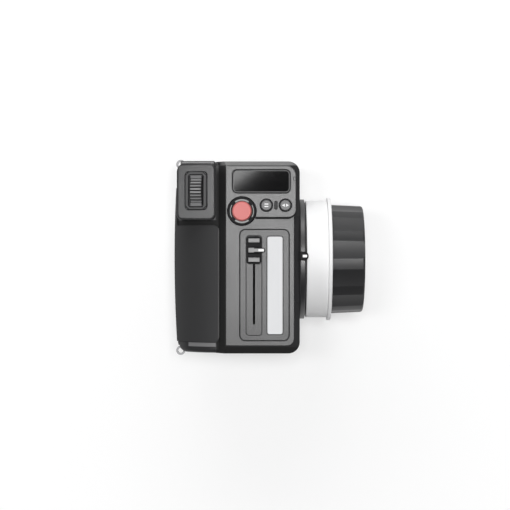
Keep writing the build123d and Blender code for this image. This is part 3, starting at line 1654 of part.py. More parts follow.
# Mounting plate on the back, with two lipped rails and an end stop for the battery
mount_half = battery_width / 2 + mount_margin
mount_under = battery_depth + running_gap
mount_near = -battery_length / 2
mount_far = battery_length / 2 + mount_end + running_gap
land_z = battery_depth - battery_land
lip_top = land_z - running_gap
lip_bottom = land_z - battery_groove_height + running_gap
with BuildPart() as battery_plate:
    with BuildSketch(Plane.XY.offset(mount_under)):
        with Locations((battery_x, (mount_near + mount_far) / 2)):
            RectangleRounded(2 * mount_half, mount_far - mount_near, mount_corner)
    extrude(amount=mount_thickness)
    with BuildSketch(Plane.XY.offset(lip_bottom)):
        for side in (-1, 1):
            rail_inside = battery_x + side * (battery_width / 2 + running_gap)
            rail_outside = battery_x + side * mount_half
            with Locations(((rail_inside + rail_outside) / 2, 0)):
                Rectangle(mount_margin - running_gap, battery_length)
        with Locations((battery_x, mount_far - mount_end / 2)):
            Rectangle(2 * mount_half - 2 * mount_corner, mount_end)
    extrude(amount=mount_under - lip_bottom)
    with BuildSketch(Plane.XY.offset(lip_bottom)):
        for side in (-1, 1):
            lip_outside = battery_x + side * (battery_width / 2 + running_gap)
            with Locations((lip_outside - side * rail_lip / 2, 0)):
                Rectangle(rail_lip, battery_length)
    extrude(amount=lip_top - lip_bottom)
    with BuildSketch(Plane.XY.offset(mount_under)):
        with Locations(*plate_screw_places):
            Circle(screw_head_radius + seat_gap)
    extrude(amount=plate_screw_head, mode=Mode.SUBTRACT)
    with BuildSketch(Plane.XY.offset(mount_under)):
        with Locations(*plate_screw_places):
            Circle(screw_radius + seat_gap)
    extrude(amount=mount_thickness, mode=Mode.SUBTRACT)
    with BuildSketch(Plane.XZ.offset(-mount_far + mount_end)):
        with GridLocations(contact_pitch, 0, contact_count, 1):
            with Locations((battery_x, contact_z)):
                Circle(contact_radius)
    extrude(amount=-mount_end, mode=Mode.SUBTRACT)
battery_plate.part.label = "battery_plate"
export_step(battery_plate.part, "parts/battery_plate.step")

# Screws under the battery that hold the plate to the rear cover
with BuildPart() as plate_screws:
    with BuildSketch(Plane.XY.offset(mount_under)):
        with Locations(*plate_screw_places):
            Circle(screw_head_radius)
    extrude(amount=plate_screw_head)
    with BuildSketch(Plane.XY.offset(mount_under)):
        with Locations(*plate_screw_places):
            RegularPolygon(driver_radius, 6)
    extrude(amount=plate_screw_head / 2, mode=Mode.SUBTRACT)
    with BuildSketch(Plane.XY.offset(mount_under + plate_screw_head)):
        with Locations(*plate_screw_places):
            Circle(screw_radius)
    extrude(amount=mount_thickness - plate_screw_head + plate_screw_reach)
plate_screws.part.label = "plate_screws"
export_step(plate_screws.part, "parts/plate_screws.step")

# Spring contacts in the end stop
with BuildPart() as battery_contacts:
    with BuildSketch(Plane.XZ.offset(-mount_far + mount_end)):
        with GridLocations(contact_pitch, 0, contact_count, 1):
            with Locations((battery_x, contact_z)):
                Circle(contact_radius)
    extrude(amount=-mount_end)
    with BuildSketch(Plane.XZ.offset(-mount_far + mount_end)):
        with GridLocations(contact_pitch, 0, contact_count, 1):
            with Locations((battery_x, contact_z)):
                Circle(contact_radius / 2)
    extrude(amount=running_gap - seat_gap)
battery_contacts.part.label = "battery_contacts"
export_step(battery_contacts.part, "parts/battery_contacts.step")

# Battery that slides on the rails
with BuildPart() as battery_pack:
    with BuildSketch():
        with Locations((battery_x, 0)):
            RectangleRounded(battery_width, battery_length, battery_round)
    extrude(amount=battery_depth)
    fillet(battery_pack.faces().sort_by(Axis.Z)[0].edges(), battery_round - seat_gap)
    with BuildSketch(Plane.XY.offset(land_z)):
        for side in (-1, 1):
            with Locations((battery_x + side * battery_width / 2, 0)):
                Rectangle(2 * battery_groove_depth, battery_length)
    extrude(amount=-battery_groove_height, mode=Mode.SUBTRACT)
battery_pack.part.label = "battery_pack"
export_step(battery_pack.part, "parts/battery_pack.step")
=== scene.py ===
# %% [markdown]
# # A hand-held focus control, dressed over its frame
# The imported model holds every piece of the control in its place, with its moving bodies. This lesson
# keeps those solids, gives each one the finish of the real thing, and models the small pieces that
# only the eye needs: seals, shadow gaps, key marks, ribs and rims. Everything is in metres, with +X along
# the focus knob's axis, +Y at the display end and +Z out of the control panel.

# %% Load the frame
import json
import math

import bmesh
import bpy
from mathutils import Matrix, Vector


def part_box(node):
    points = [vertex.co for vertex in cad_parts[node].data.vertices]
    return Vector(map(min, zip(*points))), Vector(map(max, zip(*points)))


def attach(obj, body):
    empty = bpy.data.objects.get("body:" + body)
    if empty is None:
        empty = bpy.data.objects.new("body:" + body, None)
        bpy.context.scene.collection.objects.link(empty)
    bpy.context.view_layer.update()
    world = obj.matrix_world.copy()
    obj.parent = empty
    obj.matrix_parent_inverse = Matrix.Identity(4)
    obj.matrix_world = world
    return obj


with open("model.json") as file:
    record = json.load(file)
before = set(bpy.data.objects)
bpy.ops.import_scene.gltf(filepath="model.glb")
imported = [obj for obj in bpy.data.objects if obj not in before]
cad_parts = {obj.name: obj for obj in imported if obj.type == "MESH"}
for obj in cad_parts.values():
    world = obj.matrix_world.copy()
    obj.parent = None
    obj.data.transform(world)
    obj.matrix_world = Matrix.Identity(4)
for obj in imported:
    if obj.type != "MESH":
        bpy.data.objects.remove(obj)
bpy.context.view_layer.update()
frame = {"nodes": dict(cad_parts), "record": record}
nodes = frame["nodes"]
MM = 0.001

# %% [markdown]
# ## The camera
# The photograph looks straight down on the unit, which lies on its back. How much narrower the low
# parts look than the high ones gives the distance, about a metre above the panel. A camera with no
# turn already looks down with +Y at the top of the picture, so it only needs its place and its lens.

# %% Camera
panel_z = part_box("marking_strip")[1].z
camera_height = 1.0
camera_centre = Vector((-8.65, 1.55, 0)) * MM
picture_width = 325 * MM
camera_data = bpy.data.cameras.new("camera")
camera_data.sensor_width = 36
camera_data.lens = camera_data.sensor_width * camera_height / picture_width
camera = bpy.data.objects.new("camera", camera_data)
camera.location = camera_centre + Vector((0, 0, panel_z + camera_height))
bpy.context.scene.collection.objects.link(camera)
bpy.context.scene.camera = camera
print("lens:", round(camera_data.lens, 1), "mm over a panel at", round(panel_z / MM, 1), "mm")

# %% [markdown]
# ## A socket that Python can calculate with
# A finish is a small graph of nodes. Wiring each Math node by hand hides the idea, so one class wraps
# a socket and turns plus, minus and times into Math nodes, also when the number comes first. A second
# class holds the material and makes any other node: its settings first, then its sockets.


# %% Shader classes
class Value:
    """A shader socket that ordinary arithmetic works on."""

    def __init__(self, finish, socket):
        self.finish = finish
        self.socket = socket

    def math(self, operation, first, second=0.0):
        return self.finish.node("Math", {"operation": operation}, {0: first, 1: second})

    def __add__(self, other):
        return self.math("ADD", self, other)

    __radd__ = __add__

    def __sub__(self, other):
        return self.math("SUBTRACT", self, other)

    def __rsub__(self, other):
        return self.math("SUBTRACT", other, self)

    def __mul__(self, other):
        return self.math("MULTIPLY", self, other)

    __rmul__ = __mul__

    def above(self, limit, blur):
        """0 below the limit and 1 above it, with a soft step of the given width."""
        ends = {"From Min": limit - blur / 2, "From Max": limit + blur / 2}
        settings = {"interpolation_type": "SMOOTHSTEP"}
        return self.finish.node("MapRange", settings, {"Value": self, **ends})


class Finish:
    """One material, with a method that adds any node to it."""

    def __init__(self, name):
        self.material = bpy.data.materials.new(name)
        self.material.use_nodes = True
        self.tree = self.material.node_tree
        self.shader = self.tree.nodes["Principled BSDF"]
        self.output = self.tree.nodes["Material Output"]
        self.place = self.node("TexCoord", output="Object")

    def node(self, kind, settings=None, sockets=None, output=0):
        made = self.tree.nodes.new("ShaderNode" + kind)
        for key, value in (settings or {}).items():
            setattr(made, key, value)
        for key, value in (sockets or {}).items():
            self.put(made.inputs[key], value)
        return Value(self, made.outputs[output])

    def put(self, socket, value):
        if isinstance(value, Value):
            self.tree.links.new(value.socket, socket)
        elif hasattr(value, "__len__") and socket.type == "RGBA":
            socket.default_value = (*value[:3], 1)
        else:
            socket.default_value = value

    def surface(self, **sockets):
        for key, value in sockets.items():
            self.put(self.shader.inputs[key.replace("_", " ")], value)
        return self.material

    def noise(self, size, detail=2.0, rough=0.5, stretch=(1, 1, 1)):
        """Soft noise whose lumps are about size across, from 0 to 1."""
        where = self.node("Mapping", {}, {"Vector": self.place, "Scale": stretch})
        sockets = {"Vector": where, "Scale": 1 / size, "Detail": detail, "Roughness": rough}
        return self.node("TexNoise", {}, sockets, "Fac")

    def blend(self, factor, first, second):
        """A colour between two others."""
        settings = {"data_type": "RGBA"}
        return self.node("Mix", settings, {"Factor": factor, 6: first, 7: second}, 2)

    def bump(self, height, distance, strength=1.0):
        sockets = {"Height": height, "Distance": distance, "Strength": strength}
        return self.node("Bump", {}, sockets, "Normal")

    def along(self, axis):
        """One coordinate of the place on the object, in metres."""
        return self.node("SeparateXYZ", {}, {0: self.place}, axis)


def shade(colour, factor):
    """A colour made lighter or darker by a factor."""
    return tuple(channel * factor for channel in colour)


print("shader classes ready")

# %% [markdown]
# ## Light and floor
# The photograph has a soft light overhead, a wide one low behind the display end and a smaller one over
# the grip, on a white sweep. The overhead one gives the panel its grey sheen, and the wide one draws the
# shadow towards the viewer. Their power is set so that a sheet of white on the floor renders just white,
# because then each colour renders about as it is written. The floor looks a little brighter to the eye
# than the light it returns, which whitens the picture and leaves the shadow in it.


# %% Lamps
def soft_lamp(name, place, width, length, power):
    lamp = bpy.data.lights.new(name, "AREA")
    lamp.shape = "RECTANGLE"
    lamp.size = width
    lamp.size_y = length
    lamp.energy = power
    lamp_object = bpy.data.objects.new(name, lamp)
    lamp_object.location = place
    lamp_object.rotation_mode = "QUATERNION"
    lamp_object.rotation_quaternion = Vector(place).to_track_quat("Z", "Y")
    bpy.context.scene.collection.objects.link(lamp_object)


soft_lamp("ceiling_softbox", (0.06, 0.11, 2.07), 0.5, 0.5, 35)
soft_lamp("window_strip", (-0.1, 1.66, 0.77), 2.0, 0.8, 20)
soft_lamp("grip_lamp", (-0.6, 0.12, 1.98), 0.3, 0.5, 9)
print("lamps:", [lamp.name for lamp in bpy.data.lights])


# %% World and floor
def seen_directly(finish_node):
    """1 where the eye, a reflection or a clear piece shows the surface, and 0 for its own light."""
    camera_ray = finish_node("LightPath", output="Is Camera Ray")
    glossy_ray = finish_node("LightPath", output="Is Glossy Ray")
    clear_ray = finish_node("LightPath", output="Is Transmission Ray")
    return camera_ray.math("MAXIMUM", camera_ray, glossy_ray.math("MAXIMUM", glossy_ray, clear_ray))


world = bpy.data.worlds.new("studio")
bpy.context.scene.world = world
world.use_nodes = True
world.node_tree.nodes["Background"].inputs["Color"].default_value = (0.97, 0.985, 1.0, 1)
world.node_tree.nodes["Background"].inputs["Strength"].default_value = 0.06

floor_finish = Finish("white_sweep")
floor_white = (0.92, 0.92, 0.92)
floor_finish.surface(Base_Color=floor_white, Roughness=0.9, Specular_IOR_Level=0.0)
floor_glow = floor_finish.node("Emission", {}, {"Color": (1, 1, 1), "Strength": 1.0})
floor_seen = seen_directly(floor_finish.node)
floor_mix = floor_finish.node(
    "MixShader",
    {},
    {0: floor_seen * 0.5, 1: Value(floor_finish, floor_finish.shader.outputs[0]), 2: floor_glow},
)
floor_finish.tree.links.new(floor_mix.socket, floor_finish.output.inputs["Surface"])

floor_mesh = bpy.data.meshes.new("floor")
floor_shape = bmesh.new()
bmesh.ops.create_grid(floor_shape, x_segments=1, y_segments=1, size=4.0)
bmesh.ops.translate(floor_shape, verts=floor_shape.verts, vec=(0, 0, -0.1 * MM))
floor_shape.to_mesh(floor_mesh)
floor_shape.free()
floor = bpy.data.objects.new("floor", floor_mesh)
floor.data.materials.append(floor_finish.material)
bpy.context.scene.collection.objects.link(floor)
bpy.context.scene.view_settings.view_transform = "Standard"
print("floor and world ready")

# %% [markdown]
# ## A dark card over the display
# The glass is smooth enough to mirror what hangs over it, so a photographer puts a black card beside the
# camera. The card darkens the glass from one corner and leaves the rest of it bright.

# %% Dark card
card_finish = Finish("black_card")
card_finish.surface(Base_Color=(0.01, 0.01, 0.01), Roughness=0.9, Specular_IOR_Level=0.0)
card_mesh = bpy.data.meshes.new("black_card")
card_shape = bmesh.new()
bmesh.ops.create_grid(card_shape, x_segments=1, y_segments=1, size=0.5)
bmesh.ops.scale(card_shape, verts=card_shape.verts, vec=(100 * MM, 140 * MM, 1))
bmesh.ops.rotate(card_shape, verts=card_shape.verts, matrix=Matrix.Rotation(math.radians(-53), 3, "Z"))
card_place = camera.location + Vector((27, 71, 85)) * MM
bmesh.ops.translate(card_shape, verts=card_shape.verts, vec=card_place)
card_shape.to_mesh(card_mesh)
card_shape.free()
card = bpy.data.objects.new("black_card", card_mesh)
card.data.materials.append(card_finish.material)
bpy.context.scene.collection.objects.link(card)
print("dark card at", [round(value, 3) for value in card_place])

# %% [markdown]
# ## Moulded plastic
# Most of the control is injection-moulded plastic with a fine spark-eroded grain. Two sizes of noise
# give it that grain: a fine one moves the normal and the roughness a little, and a broad one changes
# the tone over centimetres, as handling and moulding do. One function starts them all, and each finish
# only gives its colour, its gloss and its grain. Some then paint a second colour over a part of it.


# %% Moulded plastic
def moulded(name, colour, roughness, shine=0.18, grain=0.35 * MM, depth=0.02 * MM, tone=0.08, paints=()):
    """A grained plastic. Each paint is a function that gives a mask, and the colour and gloss it shows."""
    finish = Finish(name)
    fine = finish.noise(grain, detail=3.0, rough=0.6)
    broad = finish.noise(18 * MM)
    mixed = finish.blend(fine * 0.4 + broad * 0.6, shade(colour, 1 - tone), shade(colour, 1 + tone))
    for painted, second_colour, second_roughness in paints:
        mask = painted(finish)
        mixed = finish.blend(mask, mixed, second_colour)
        roughness = roughness + mask * (second_roughness - roughness)
    return finish.surface(
        Base_Color=mixed,
        Roughness=roughness + 0.1 * (fine - 0.5) + 0.06 * (broad - 0.5),
        Specular_IOR_Level=shine,
        Normal=finish.bump(fine, depth),
    )


print("moulded plastic ready")

# %% [markdown]
# ## Paint masks
# A painted area is a mask over the plastic, 0 outside the area and 1 inside it. Most are painted shade in
# hollows, grooves and rims, or painted highlights and light on edges, facets and the dial pod; the stripes
# on the pointers are print. Each mask is measured from the box of the node that it belongs to, and the
# dial's from the place and axis of its joint.

# %% Paint masks
joints = frame["record"]["behaviour"]["joints"]
dial_joint = next(joint for joint in joints if joint["name"] == "dial_turn")
dial_hub = Vector(dial_joint["pos_m"])
dial_axle = Vector(dial_joint["axis"])
dial_low, dial_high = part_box("thumb_dial")
dial_radius = (dial_high.y - dial_low.y) / 2


def between(value, low, high, blur=0.1 * MM):
    """1 where a value lies between two limits, with soft ends."""
    return value.above(low, blur) * (1 - value.above(high, blur))


def shade_painted_hollows(finish):
    """The strips of the case beside and below the panel and under the dial pod, painted dark as shade and
    left matt.
    """
    pod_low, pod_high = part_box("dial_pod")
    panel_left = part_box("display_plate")[0].x
    under_pod = between(finish.along("Y"), pod_low.y - 4 * MM, pod_low.y)
    under_pod = under_pod * (1 - finish.along("X").above(pod_high.x + 2 * MM, 1 * MM))
    valley = between(finish.along("X"), pod_high.x + 0.4 * MM, panel_left - 0.6 * MM, 1.2 * MM)
    valley = valley * (1 - finish.along("Y").above(pod_high.y - 4 * MM, 8 * MM))
    under_panel = 1 - finish.along("Y").above(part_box("front_shell")[0].y + 4.3 * MM, 0.4 * MM)
    under_panel = under_panel * finish.along("X").above(panel_left - 4 * MM, 1 * MM)
    hollows = under_pod.math("MAXIMUM", under_pod, valley)
    return hollows.math("MAXIMUM", hollows, under_panel)


def sill_painted_highlight(finish):
    """The sill of the case below the rubber pad, painted lighter as a highlight."""
    pad_low, pad_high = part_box("grip_pad")
    across = between(finish.along("X"), pad_high.x - 20 * MM, pad_high.x - 2.2 * MM, 1.0 * MM)
    return across * between(finish.along("Y"), pad_low.y - 2.9 * MM, pad_low.y - 0.4 * MM, 0.3 * MM)


def top_edge_highlight(finish):
    """The band along the display end of the panel, painted paler than the rest of the case as a highlight.
    """
    low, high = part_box("display_plate")
    height = finish.along("Z").above(low.z - 4 * MM, 1 * MM)
    past_plate = finish.along("Y").above(high.y + 0.3 * MM, 0.3 * MM)
    return height * past_plate * finish.along("X").above(low.x - 4 * MM, 4 * MM)


def pad_edge_highlight(finish):
    """The rounded edge of the rubber pad along the panel, painted a little lighter as a highlight."""
    return finish.along("X").above(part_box("grip_pad")[1].x - 0.7 * MM, 0.3 * MM)


def pod_painted_light(finish):
    """The dial pod, painted lighter towards the panel side and the low end, as painted light."""
    low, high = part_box("dial_pod")
    middle = (low + high) / 2
    from_side = finish.along("X").above(middle.x, high.x - low.x)
    from_end = 1 - finish.along("Y").above(middle.y, 1.6 * (high.y - low.y))
    return 0.65 * from_side + 0.35 * from_end


def from_axis(first, second):
    """The distance from an axis, from two coordinates that are measured across it."""
    square = first * first + second * second
    return square.math("SQRT", square)


def dial_groove_shade(finish):
    """The grooves between the dial's ribs, painted dark as shade, found by their distance from its axle."""
    leaned = (finish.along("Z") - dial_hub.z) * dial_axle.x - (finish.along("X") - dial_hub.x) * dial_axle.z
    distance = from_axis(leaned, finish.along("Y") - dial_hub.y)
    return 1 - distance.above(dial_radius - 0.35 * MM, 0.25 * MM)


def record_rim_shade(finish):
    """The turned-down rim of the record button, painted dark as shade."""
    low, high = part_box("record_button")
    middle = (low + high) / 2
    distance = from_axis(finish.along("X") - middle.x, finish.along("Y") - middle.y)
    return distance.above((high.x - low.x) / 2 - 0.5 * MM, 0.35 * MM)


def cap_facet_highlight(finish):
    """The raised facets of the fader cap, painted light grey as a highlight."""
    return finish.along("Z").above(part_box("fader_cap")[1].z - 1.25 * MM, 0.3 * MM)


def index_stripe(finish):
    """The stripe on the knob's pointer."""
    low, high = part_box("index_pointer")
    middle = (low.y + high.y) / 2
    across = between(finish.along("Y"), middle - 0.8 * MM, middle + 0.8 * MM)
    return across * between(finish.along("X"), high.x - 3.7 * MM, high.x - 1.0 * MM)


def fader_ridge_highlight(finish):
    """The top of the fader's pointer, which carries on the ridge of the cap, painted grey as a highlight.
    """
    low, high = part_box("fader_pointer")
    middle = (low.y + high.y) / 2
    across = between(finish.along("Y"), middle - 1.0 * MM, middle + 1.0 * MM, 0.3 * MM)
    return across * (1 - finish.along("X").above(high.x - 0.9 * MM, 0.2 * MM))


def fader_stripe(finish):
    """The stripe on the fader's pointer."""
    low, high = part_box("fader_pointer")
    middle = (low.y + high.y) / 2
    across = between(finish.along("Y"), middle - 0.7 * MM, middle + 0.7 * MM)
    return across * between(finish.along("X"), high.x - 4.4 * MM, high.x - 0.9 * MM)


print("paint masks ready")

# %% Plastic finishes
CHALK = (0.86, 0.86, 0.86)
# Grey painted as the highlight on the fader cap's facets and on its pointer's ridge.
FACET_HIGHLIGHT_GREY = (0.3, 0.3, 0.3)
POINTER_BLACK = (0.008, 0.008, 0.009)
finishes = {
    "case_plastic": moulded(
        "case_grain", (0.028, 0.028, 0.029), 0.25, shine=0.19,
        paints=[
            # Painted shade over the hollows beside and below the panel and under the dial pod.
            (shade_painted_hollows, (0.011, 0.011, 0.011), 0.7),
            # A painted highlight on the sill below the rubber pad.
            (sill_painted_highlight, (0.16, 0.16, 0.162), 0.35),
            # A painted highlight on the band along the display end.
            (top_edge_highlight, (0.14, 0.14, 0.141), 0.26),
        ],
    ),
    "panel_plastic": moulded("panel_grain", (0.036, 0.036, 0.037), 0.25, shine=0.2),
    "trim_plastic": moulded("trim_satin", (0.008, 0.008, 0.009), 0.5, shine=0.08, depth=0.006 * MM),
    "black_plastic": moulded("inner_plastic", (0.02, 0.02, 0.021), 0.5),
    "fader_plastic": moulded(
        "fader_satin", (0.007, 0.007, 0.008), 0.4, shine=0.04, depth=0.01 * MM,
        # The cap's raised facets are painted light grey as a highlight.
        paints=[(cap_facet_highlight, FACET_HIGHLIGHT_GREY, 0.35)],
    ),
    "key_plastic": moulded("key_satin", (0.1, 0.1, 0.102), 0.32, depth=0.01 * MM),
    "red_plastic": moulded(
        "record_red", (0.58, 0.17, 0.16), 0.42, depth=0.008 * MM, tone=0.05,
        # The record button's rim is painted dark red as shade.
        paints=[(record_rim_shade, (0.05, 0.006, 0.008), 0.6)],
    ),
    "white_plastic": moulded("marking_white", (0.775, 0.775, 0.778), 0.5, depth=0.006 * MM, tone=0.012),
    "light_guide": moulded("light_guide", (0.25, 0.26, 0.255), 0.35, depth=0.004 * MM),
    "smoked_window": moulded("smoked_window", (0.025, 0.025, 0.026), 0.2, depth=0.002 * MM),
    "soft_rubber": moulded("soft_rubber", (0.034, 0.034, 0.035), 0.6, grain=0.5 * MM, depth=0.03 * MM),
    "knob_rubber": moulded("knob_soft_touch", (0.022, 0.022, 0.023), 0.4, shine=0.36, depth=0.012 * MM),
    "battery_plastic": moulded("battery_grain", (0.04, 0.04, 0.042), 0.5),
    "circuit_board": moulded("solder_mask", (0.015, 0.09, 0.045), 0.35, depth=0.004 * MM),
}
dial_finish = moulded(
    "dial_satin", (0.19, 0.19, 0.192), 0.3, shine=0.5, depth=0.008 * MM,
    # The grooves between the dial's ribs are painted near black as shade.
    paints=[(dial_groove_shade, (0.004, 0.004, 0.004), 0.7)],
)
bezel_finish = moulded("bezel_satin", (0.04, 0.04, 0.041), 0.3, shine=0.15)
base_finish = moulded("base_satin", (0.012, 0.012, 0.013), 0.42, shine=1.0)
# The dial pod is painted lighter towards the panel side and the low end, as painted light.
pod_finish = moulded(
    "pod_grain", (0.018, 0.018, 0.019), 0.25, shine=0.2, paints=[(pod_painted_light, (0.055, 0.055, 0.056), 0.25)]
)
index_finish = moulded(
    "index_black", POINTER_BLACK, 0.5, shine=0.08, depth=0.004 * MM, paints=[(index_stripe, CHALK, 0.5)]
)
fader_pointer_finish = moulded(
    "pointer_black", POINTER_BLACK, 0.5, shine=0.08, depth=0.004 * MM,
    # The pointer's top is painted grey as a highlight, and its chalk stripe is print.
    paints=[(fader_ridge_highlight, FACET_HIGHLIGHT_GREY, 0.35), (fader_stripe, CHALK, 0.5)],
)
pad_finish = moulded(
    "pad_rubber", (0.03, 0.03, 0.031), 0.6, grain=0.5 * MM, depth=0.03 * MM,
    # The pad's edge along the panel is painted lighter as a highlight.
    paints=[(pad_edge_highlight, (0.1, 0.1, 0.1), 0.5)],
)
slider_finish = moulded("slider_grain", (0.028, 0.028, 0.029), 0.26)
strip_finish = moulded("strip_white", (0.64, 0.645, 0.655), 0.5, depth=0.006 * MM, tone=0.02)
# The fader's body, seen down its slot, is painted near black as shade in the slot.
slot_finish = moulded("slot_shade", (0.003, 0.003, 0.003), 0.8, shine=0.0)
status_finish = moulded("status_smoke", (0.02, 0.02, 0.021), 0.3, shine=0.06, depth=0.002 * MM)
print("moulded finishes by slot:", len(finishes))

# %% [markdown]
# ## Display glass
# The window over the display is smooth and nearly black, so what it shows is its reflection. Its gloss
# stays even, and only faint smears, stretched as a sleeve wipes them, change its roughness.

# %% Display glass
glass_finish = Finish("display_glass")
smears = glass_finish.noise(9 * MM, detail=3.0, stretch=(0.5, 2, 1))
finishes["display_glass"] = glass_finish.surface(
    Base_Color=glass_finish.blend(smears, (0.002, 0.002, 0.0022), (0.004, 0.004, 0.0045)),
    Roughness=0.06 + 0.01 * smears,
    Specular_IOR_Level=0.075,
)
print("display glass ready")

# %% [markdown]
# ## Metal
# The strap eyes, the tripod bush and the screws are metal. Fine noise stretched along one direction
# makes the lines of the last machining pass, in the roughness and in the normal.


# %% Metal
def machined(name, colour, roughness):
    finish = Finish(name)
    lines = finish.noise(0.3 * MM, detail=2.0, stretch=(1, 1, 6))
    broad = finish.noise(6 * MM)
    return finish.surface(
        Base_Color=finish.blend(broad, shade(colour, 0.85), shade(colour, 1.05)),
        Metallic=1.0,
        Roughness=roughness + 0.15 * (lines - 0.5),
        Normal=finish.bump(lines, 0.004 * MM),
    )


finishes["bright_steel"] = machined("bright_steel", (0.72, 0.72, 0.72), 0.25)
finishes["black_steel"] = machined("black_steel", (0.06, 0.06, 0.062), 0.4)
finishes["contact_brass"] = machined("contact_gold", (0.86, 0.66, 0.27), 0.25)
lug_finish = machined("lug_steel", (0.16, 0.16, 0.163), 0.5)
print("metal finishes:", [name for name in finishes if name.endswith(("steel", "brass"))])

# %% [markdown]
# ## Finishes on the frame
# The record names a material slot for each node, so the finishes go on by that list. A few nodes have a
# finish of their own in place of their slot's: the dial, the pointers, the pod and some others.

# %% Dress the nodes
special = {
    "thumb_dial": dial_finish,
    "index_pointer": index_finish,
    "fader_pointer": fader_pointer_finish,
    "fader_body": slot_finish,
    "dial_bezel": bezel_finish,
    "knob_base": base_finish,
    "dial_pod": pod_finish,
    "slider_plate": slider_finish,
    "status_window": status_finish,
    "marking_strip": strip_finish,
    "grip_pad": pad_finish,
    "strap_lugs": lug_finish,
}
for subpart in frame["record"]["subparts"]:
    name = subpart["node"]
    nodes[name].data.materials.clear()
    nodes[name].data.materials.append(special.get(name, finishes[subpart["material_slot"]]))

# %% [markdown]
# ## Small pieces, from a few operators
# The remaining pieces are thin beads, rings and bars that sit on the frame. A flat face with bevelled
# corners, inset and extruded, makes a bead around anything rectangular. A profile that is spun makes a
# ring. One function gives each piece its finish, its slot and the body that it rides on.


# %% Piece helpers
def add_piece(name, shape, body, slot):
    """Makes an object of a bmesh, finished as its slot says, that moves with a body."""
    bmesh.ops.recalc_face_normals(shape, faces=shape.faces)
    mesh = bpy.data.meshes.new(name)
    shape.to_mesh(mesh)
    shape.free()
    piece = bpy.data.objects.new(name, mesh)
    mesh.materials.append(finishes[slot])
    bpy.context.scene.collection.objects.link(piece)
    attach(piece, body)
    return piece


def rounded_face(low, high, corner, height):
    """A flat face between two corners, with rounded corners of its own."""
    shape = bmesh.new()
    bmesh.ops.create_grid(shape, x_segments=1, y_segments=1, size=0.5)
    bmesh.ops.scale(shape, verts=shape.verts, vec=(high.x - low.x, high.y - low.y, 1))
    middle = (low + high) / 2
    bmesh.ops.translate(shape, verts=shape.verts, vec=(middle.x, middle.y, height))
    bmesh.ops.bevel(
        shape, geom=shape.verts[:], offset=corner, offset_type="OFFSET", segments=8, profile=0.5,
        affect="VERTICES", material=-1,
    )
    return shape


def thicken(shape, depth):
    """Gives a flat shape a thickness along Z."""
    grown = bmesh.ops.extrude_face_region(shape, geom=shape.faces[:])["geom"]
    moved = [part for part in grown if isinstance(part, bmesh.types.BMVert)]
    bmesh.ops.translate(shape, verts=moved, vec=(0, 0, depth))


def bead(low, high, corner, width, bottom, top):
    """A flat bead that runs around a rounded rectangle, inside the given corners."""
    shape = rounded_face(low, high, corner, bottom)
    ring = bmesh.ops.inset_region(
        shape, faces=shape.faces[:], thickness=width, use_boundary=True, use_even_offset=True
    )["faces"]
    inside = [face for face in shape.faces if face not in ring]
    bmesh.ops.delete(shape, geom=inside, context="FACES")
    thicken(shape, top - bottom)
    return shape


def spun(profile, centre, axis):
    """A ring: points of (radius, height) spun around an axis through the centre."""
    shape = bmesh.new()
    points = []
    for radius, height in profile:
        place = {"X": (height, 0, radius), "Y": (radius, height, 0), "Z": (radius, 0, height)}[axis]
        points.append(shape.verts.new(Vector(place) + centre))
    edges = [shape.edges.new(pair) for pair in zip(points, points[1:] + points[:1])]
    turn = Vector((axis == "X", axis == "Y", axis == "Z"))
    bmesh.ops.spin(
        shape, geom=points + edges, cent=centre, axis=turn, angle=2 * math.pi, steps=72, use_merge=True
    )
    return shape


def flat_ring(inner, outer, bottom, top):
    """The profile of a ring with a rectangular section."""
    return [(inner, bottom), (outer, bottom), (outer, top), (inner, top)]


def bar(low, high, edge):
    """A block between two corners with its edges rounded."""
    shape = bmesh.new()
    bmesh.ops.create_cube(shape, size=1)
    bmesh.ops.scale(shape, verts=shape.verts, vec=high - low)
    bmesh.ops.translate(shape, verts=shape.verts, vec=(low + high) / 2)
    bmesh.ops.bevel(
        shape, geom=shape.edges[:], offset=edge, offset_type="OFFSET", segments=2, profile=0.5,
        affect="EDGES", material=-1,
    )
    return shape


def spread(box, by):
    """A box's low and high corners moved out by a distance."""
    low, high = box
    return low - Vector((by, by, 0)), high + Vector((by, by, 0))


print("piece helpers ready")

# %% [markdown]
# ## Seals and shadow gaps on the panel
# Every insert in the panel is set in a thin black seal: the fader's plate, its track, the marking strip,
# the glass, the status window and the two small buttons. Modelled as beads a few hundredths of a
# millimetre proud, they draw the same fine dark lines from every side that the real gaps draw.

# %% Seals around the inserts
plate_low, plate_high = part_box("display_plate")
plate_top = plate_high.z
slider_low, slider_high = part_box("slider_plate")
cap_low, cap_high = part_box("fader_cap")
proud = 0.06 * MM

face_z = slider_high.z
track_half = 4.95 * MM
track_x = (cap_low.x + cap_high.x) / 2
track_low = Vector((track_x - track_half, slider_low.y + 3.3 * MM, 0))
track_high = Vector((track_x + track_half, slider_high.y - 3.9 * MM, 0))
glass_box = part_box("display_window")
status_low, status_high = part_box("status_window")
status_corner = 0.46 * (status_high.x - status_low.x)


def seal(name, box, by, corner, width, height, slot="trim_plastic"):
    """A bead around a box, moved out by a distance and standing a little proud of a height."""
    low, high = spread(box, by)
    shape = bead(low, high, corner, width, height - proud, height + proud)
    add_piece(name, shape, "case", slot)


seal("slider_seal", (slider_low, slider_high), 0.55 * MM, 4.0 * MM, 0.8 * MM, face_z)
seal("track_lip", (track_low, track_high), 0.35 * MM, 2.3 * MM, 0.45 * MM, face_z)
seal("strip_seal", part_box("marking_strip"), 0.55 * MM, 1.8 * MM, 0.5 * MM, face_z)
seal("glass_seal", glass_box, 0.15 * MM, 3.35 * MM, 0.85 * MM, plate_top)
seal("glass_rim", glass_box, -0.7 * MM, 2.5 * MM, 0.3 * MM, plate_top, "key_plastic")
seal("status_seal", (status_low, status_high), 0.0, status_corner, 0.45 * MM, plate_top)

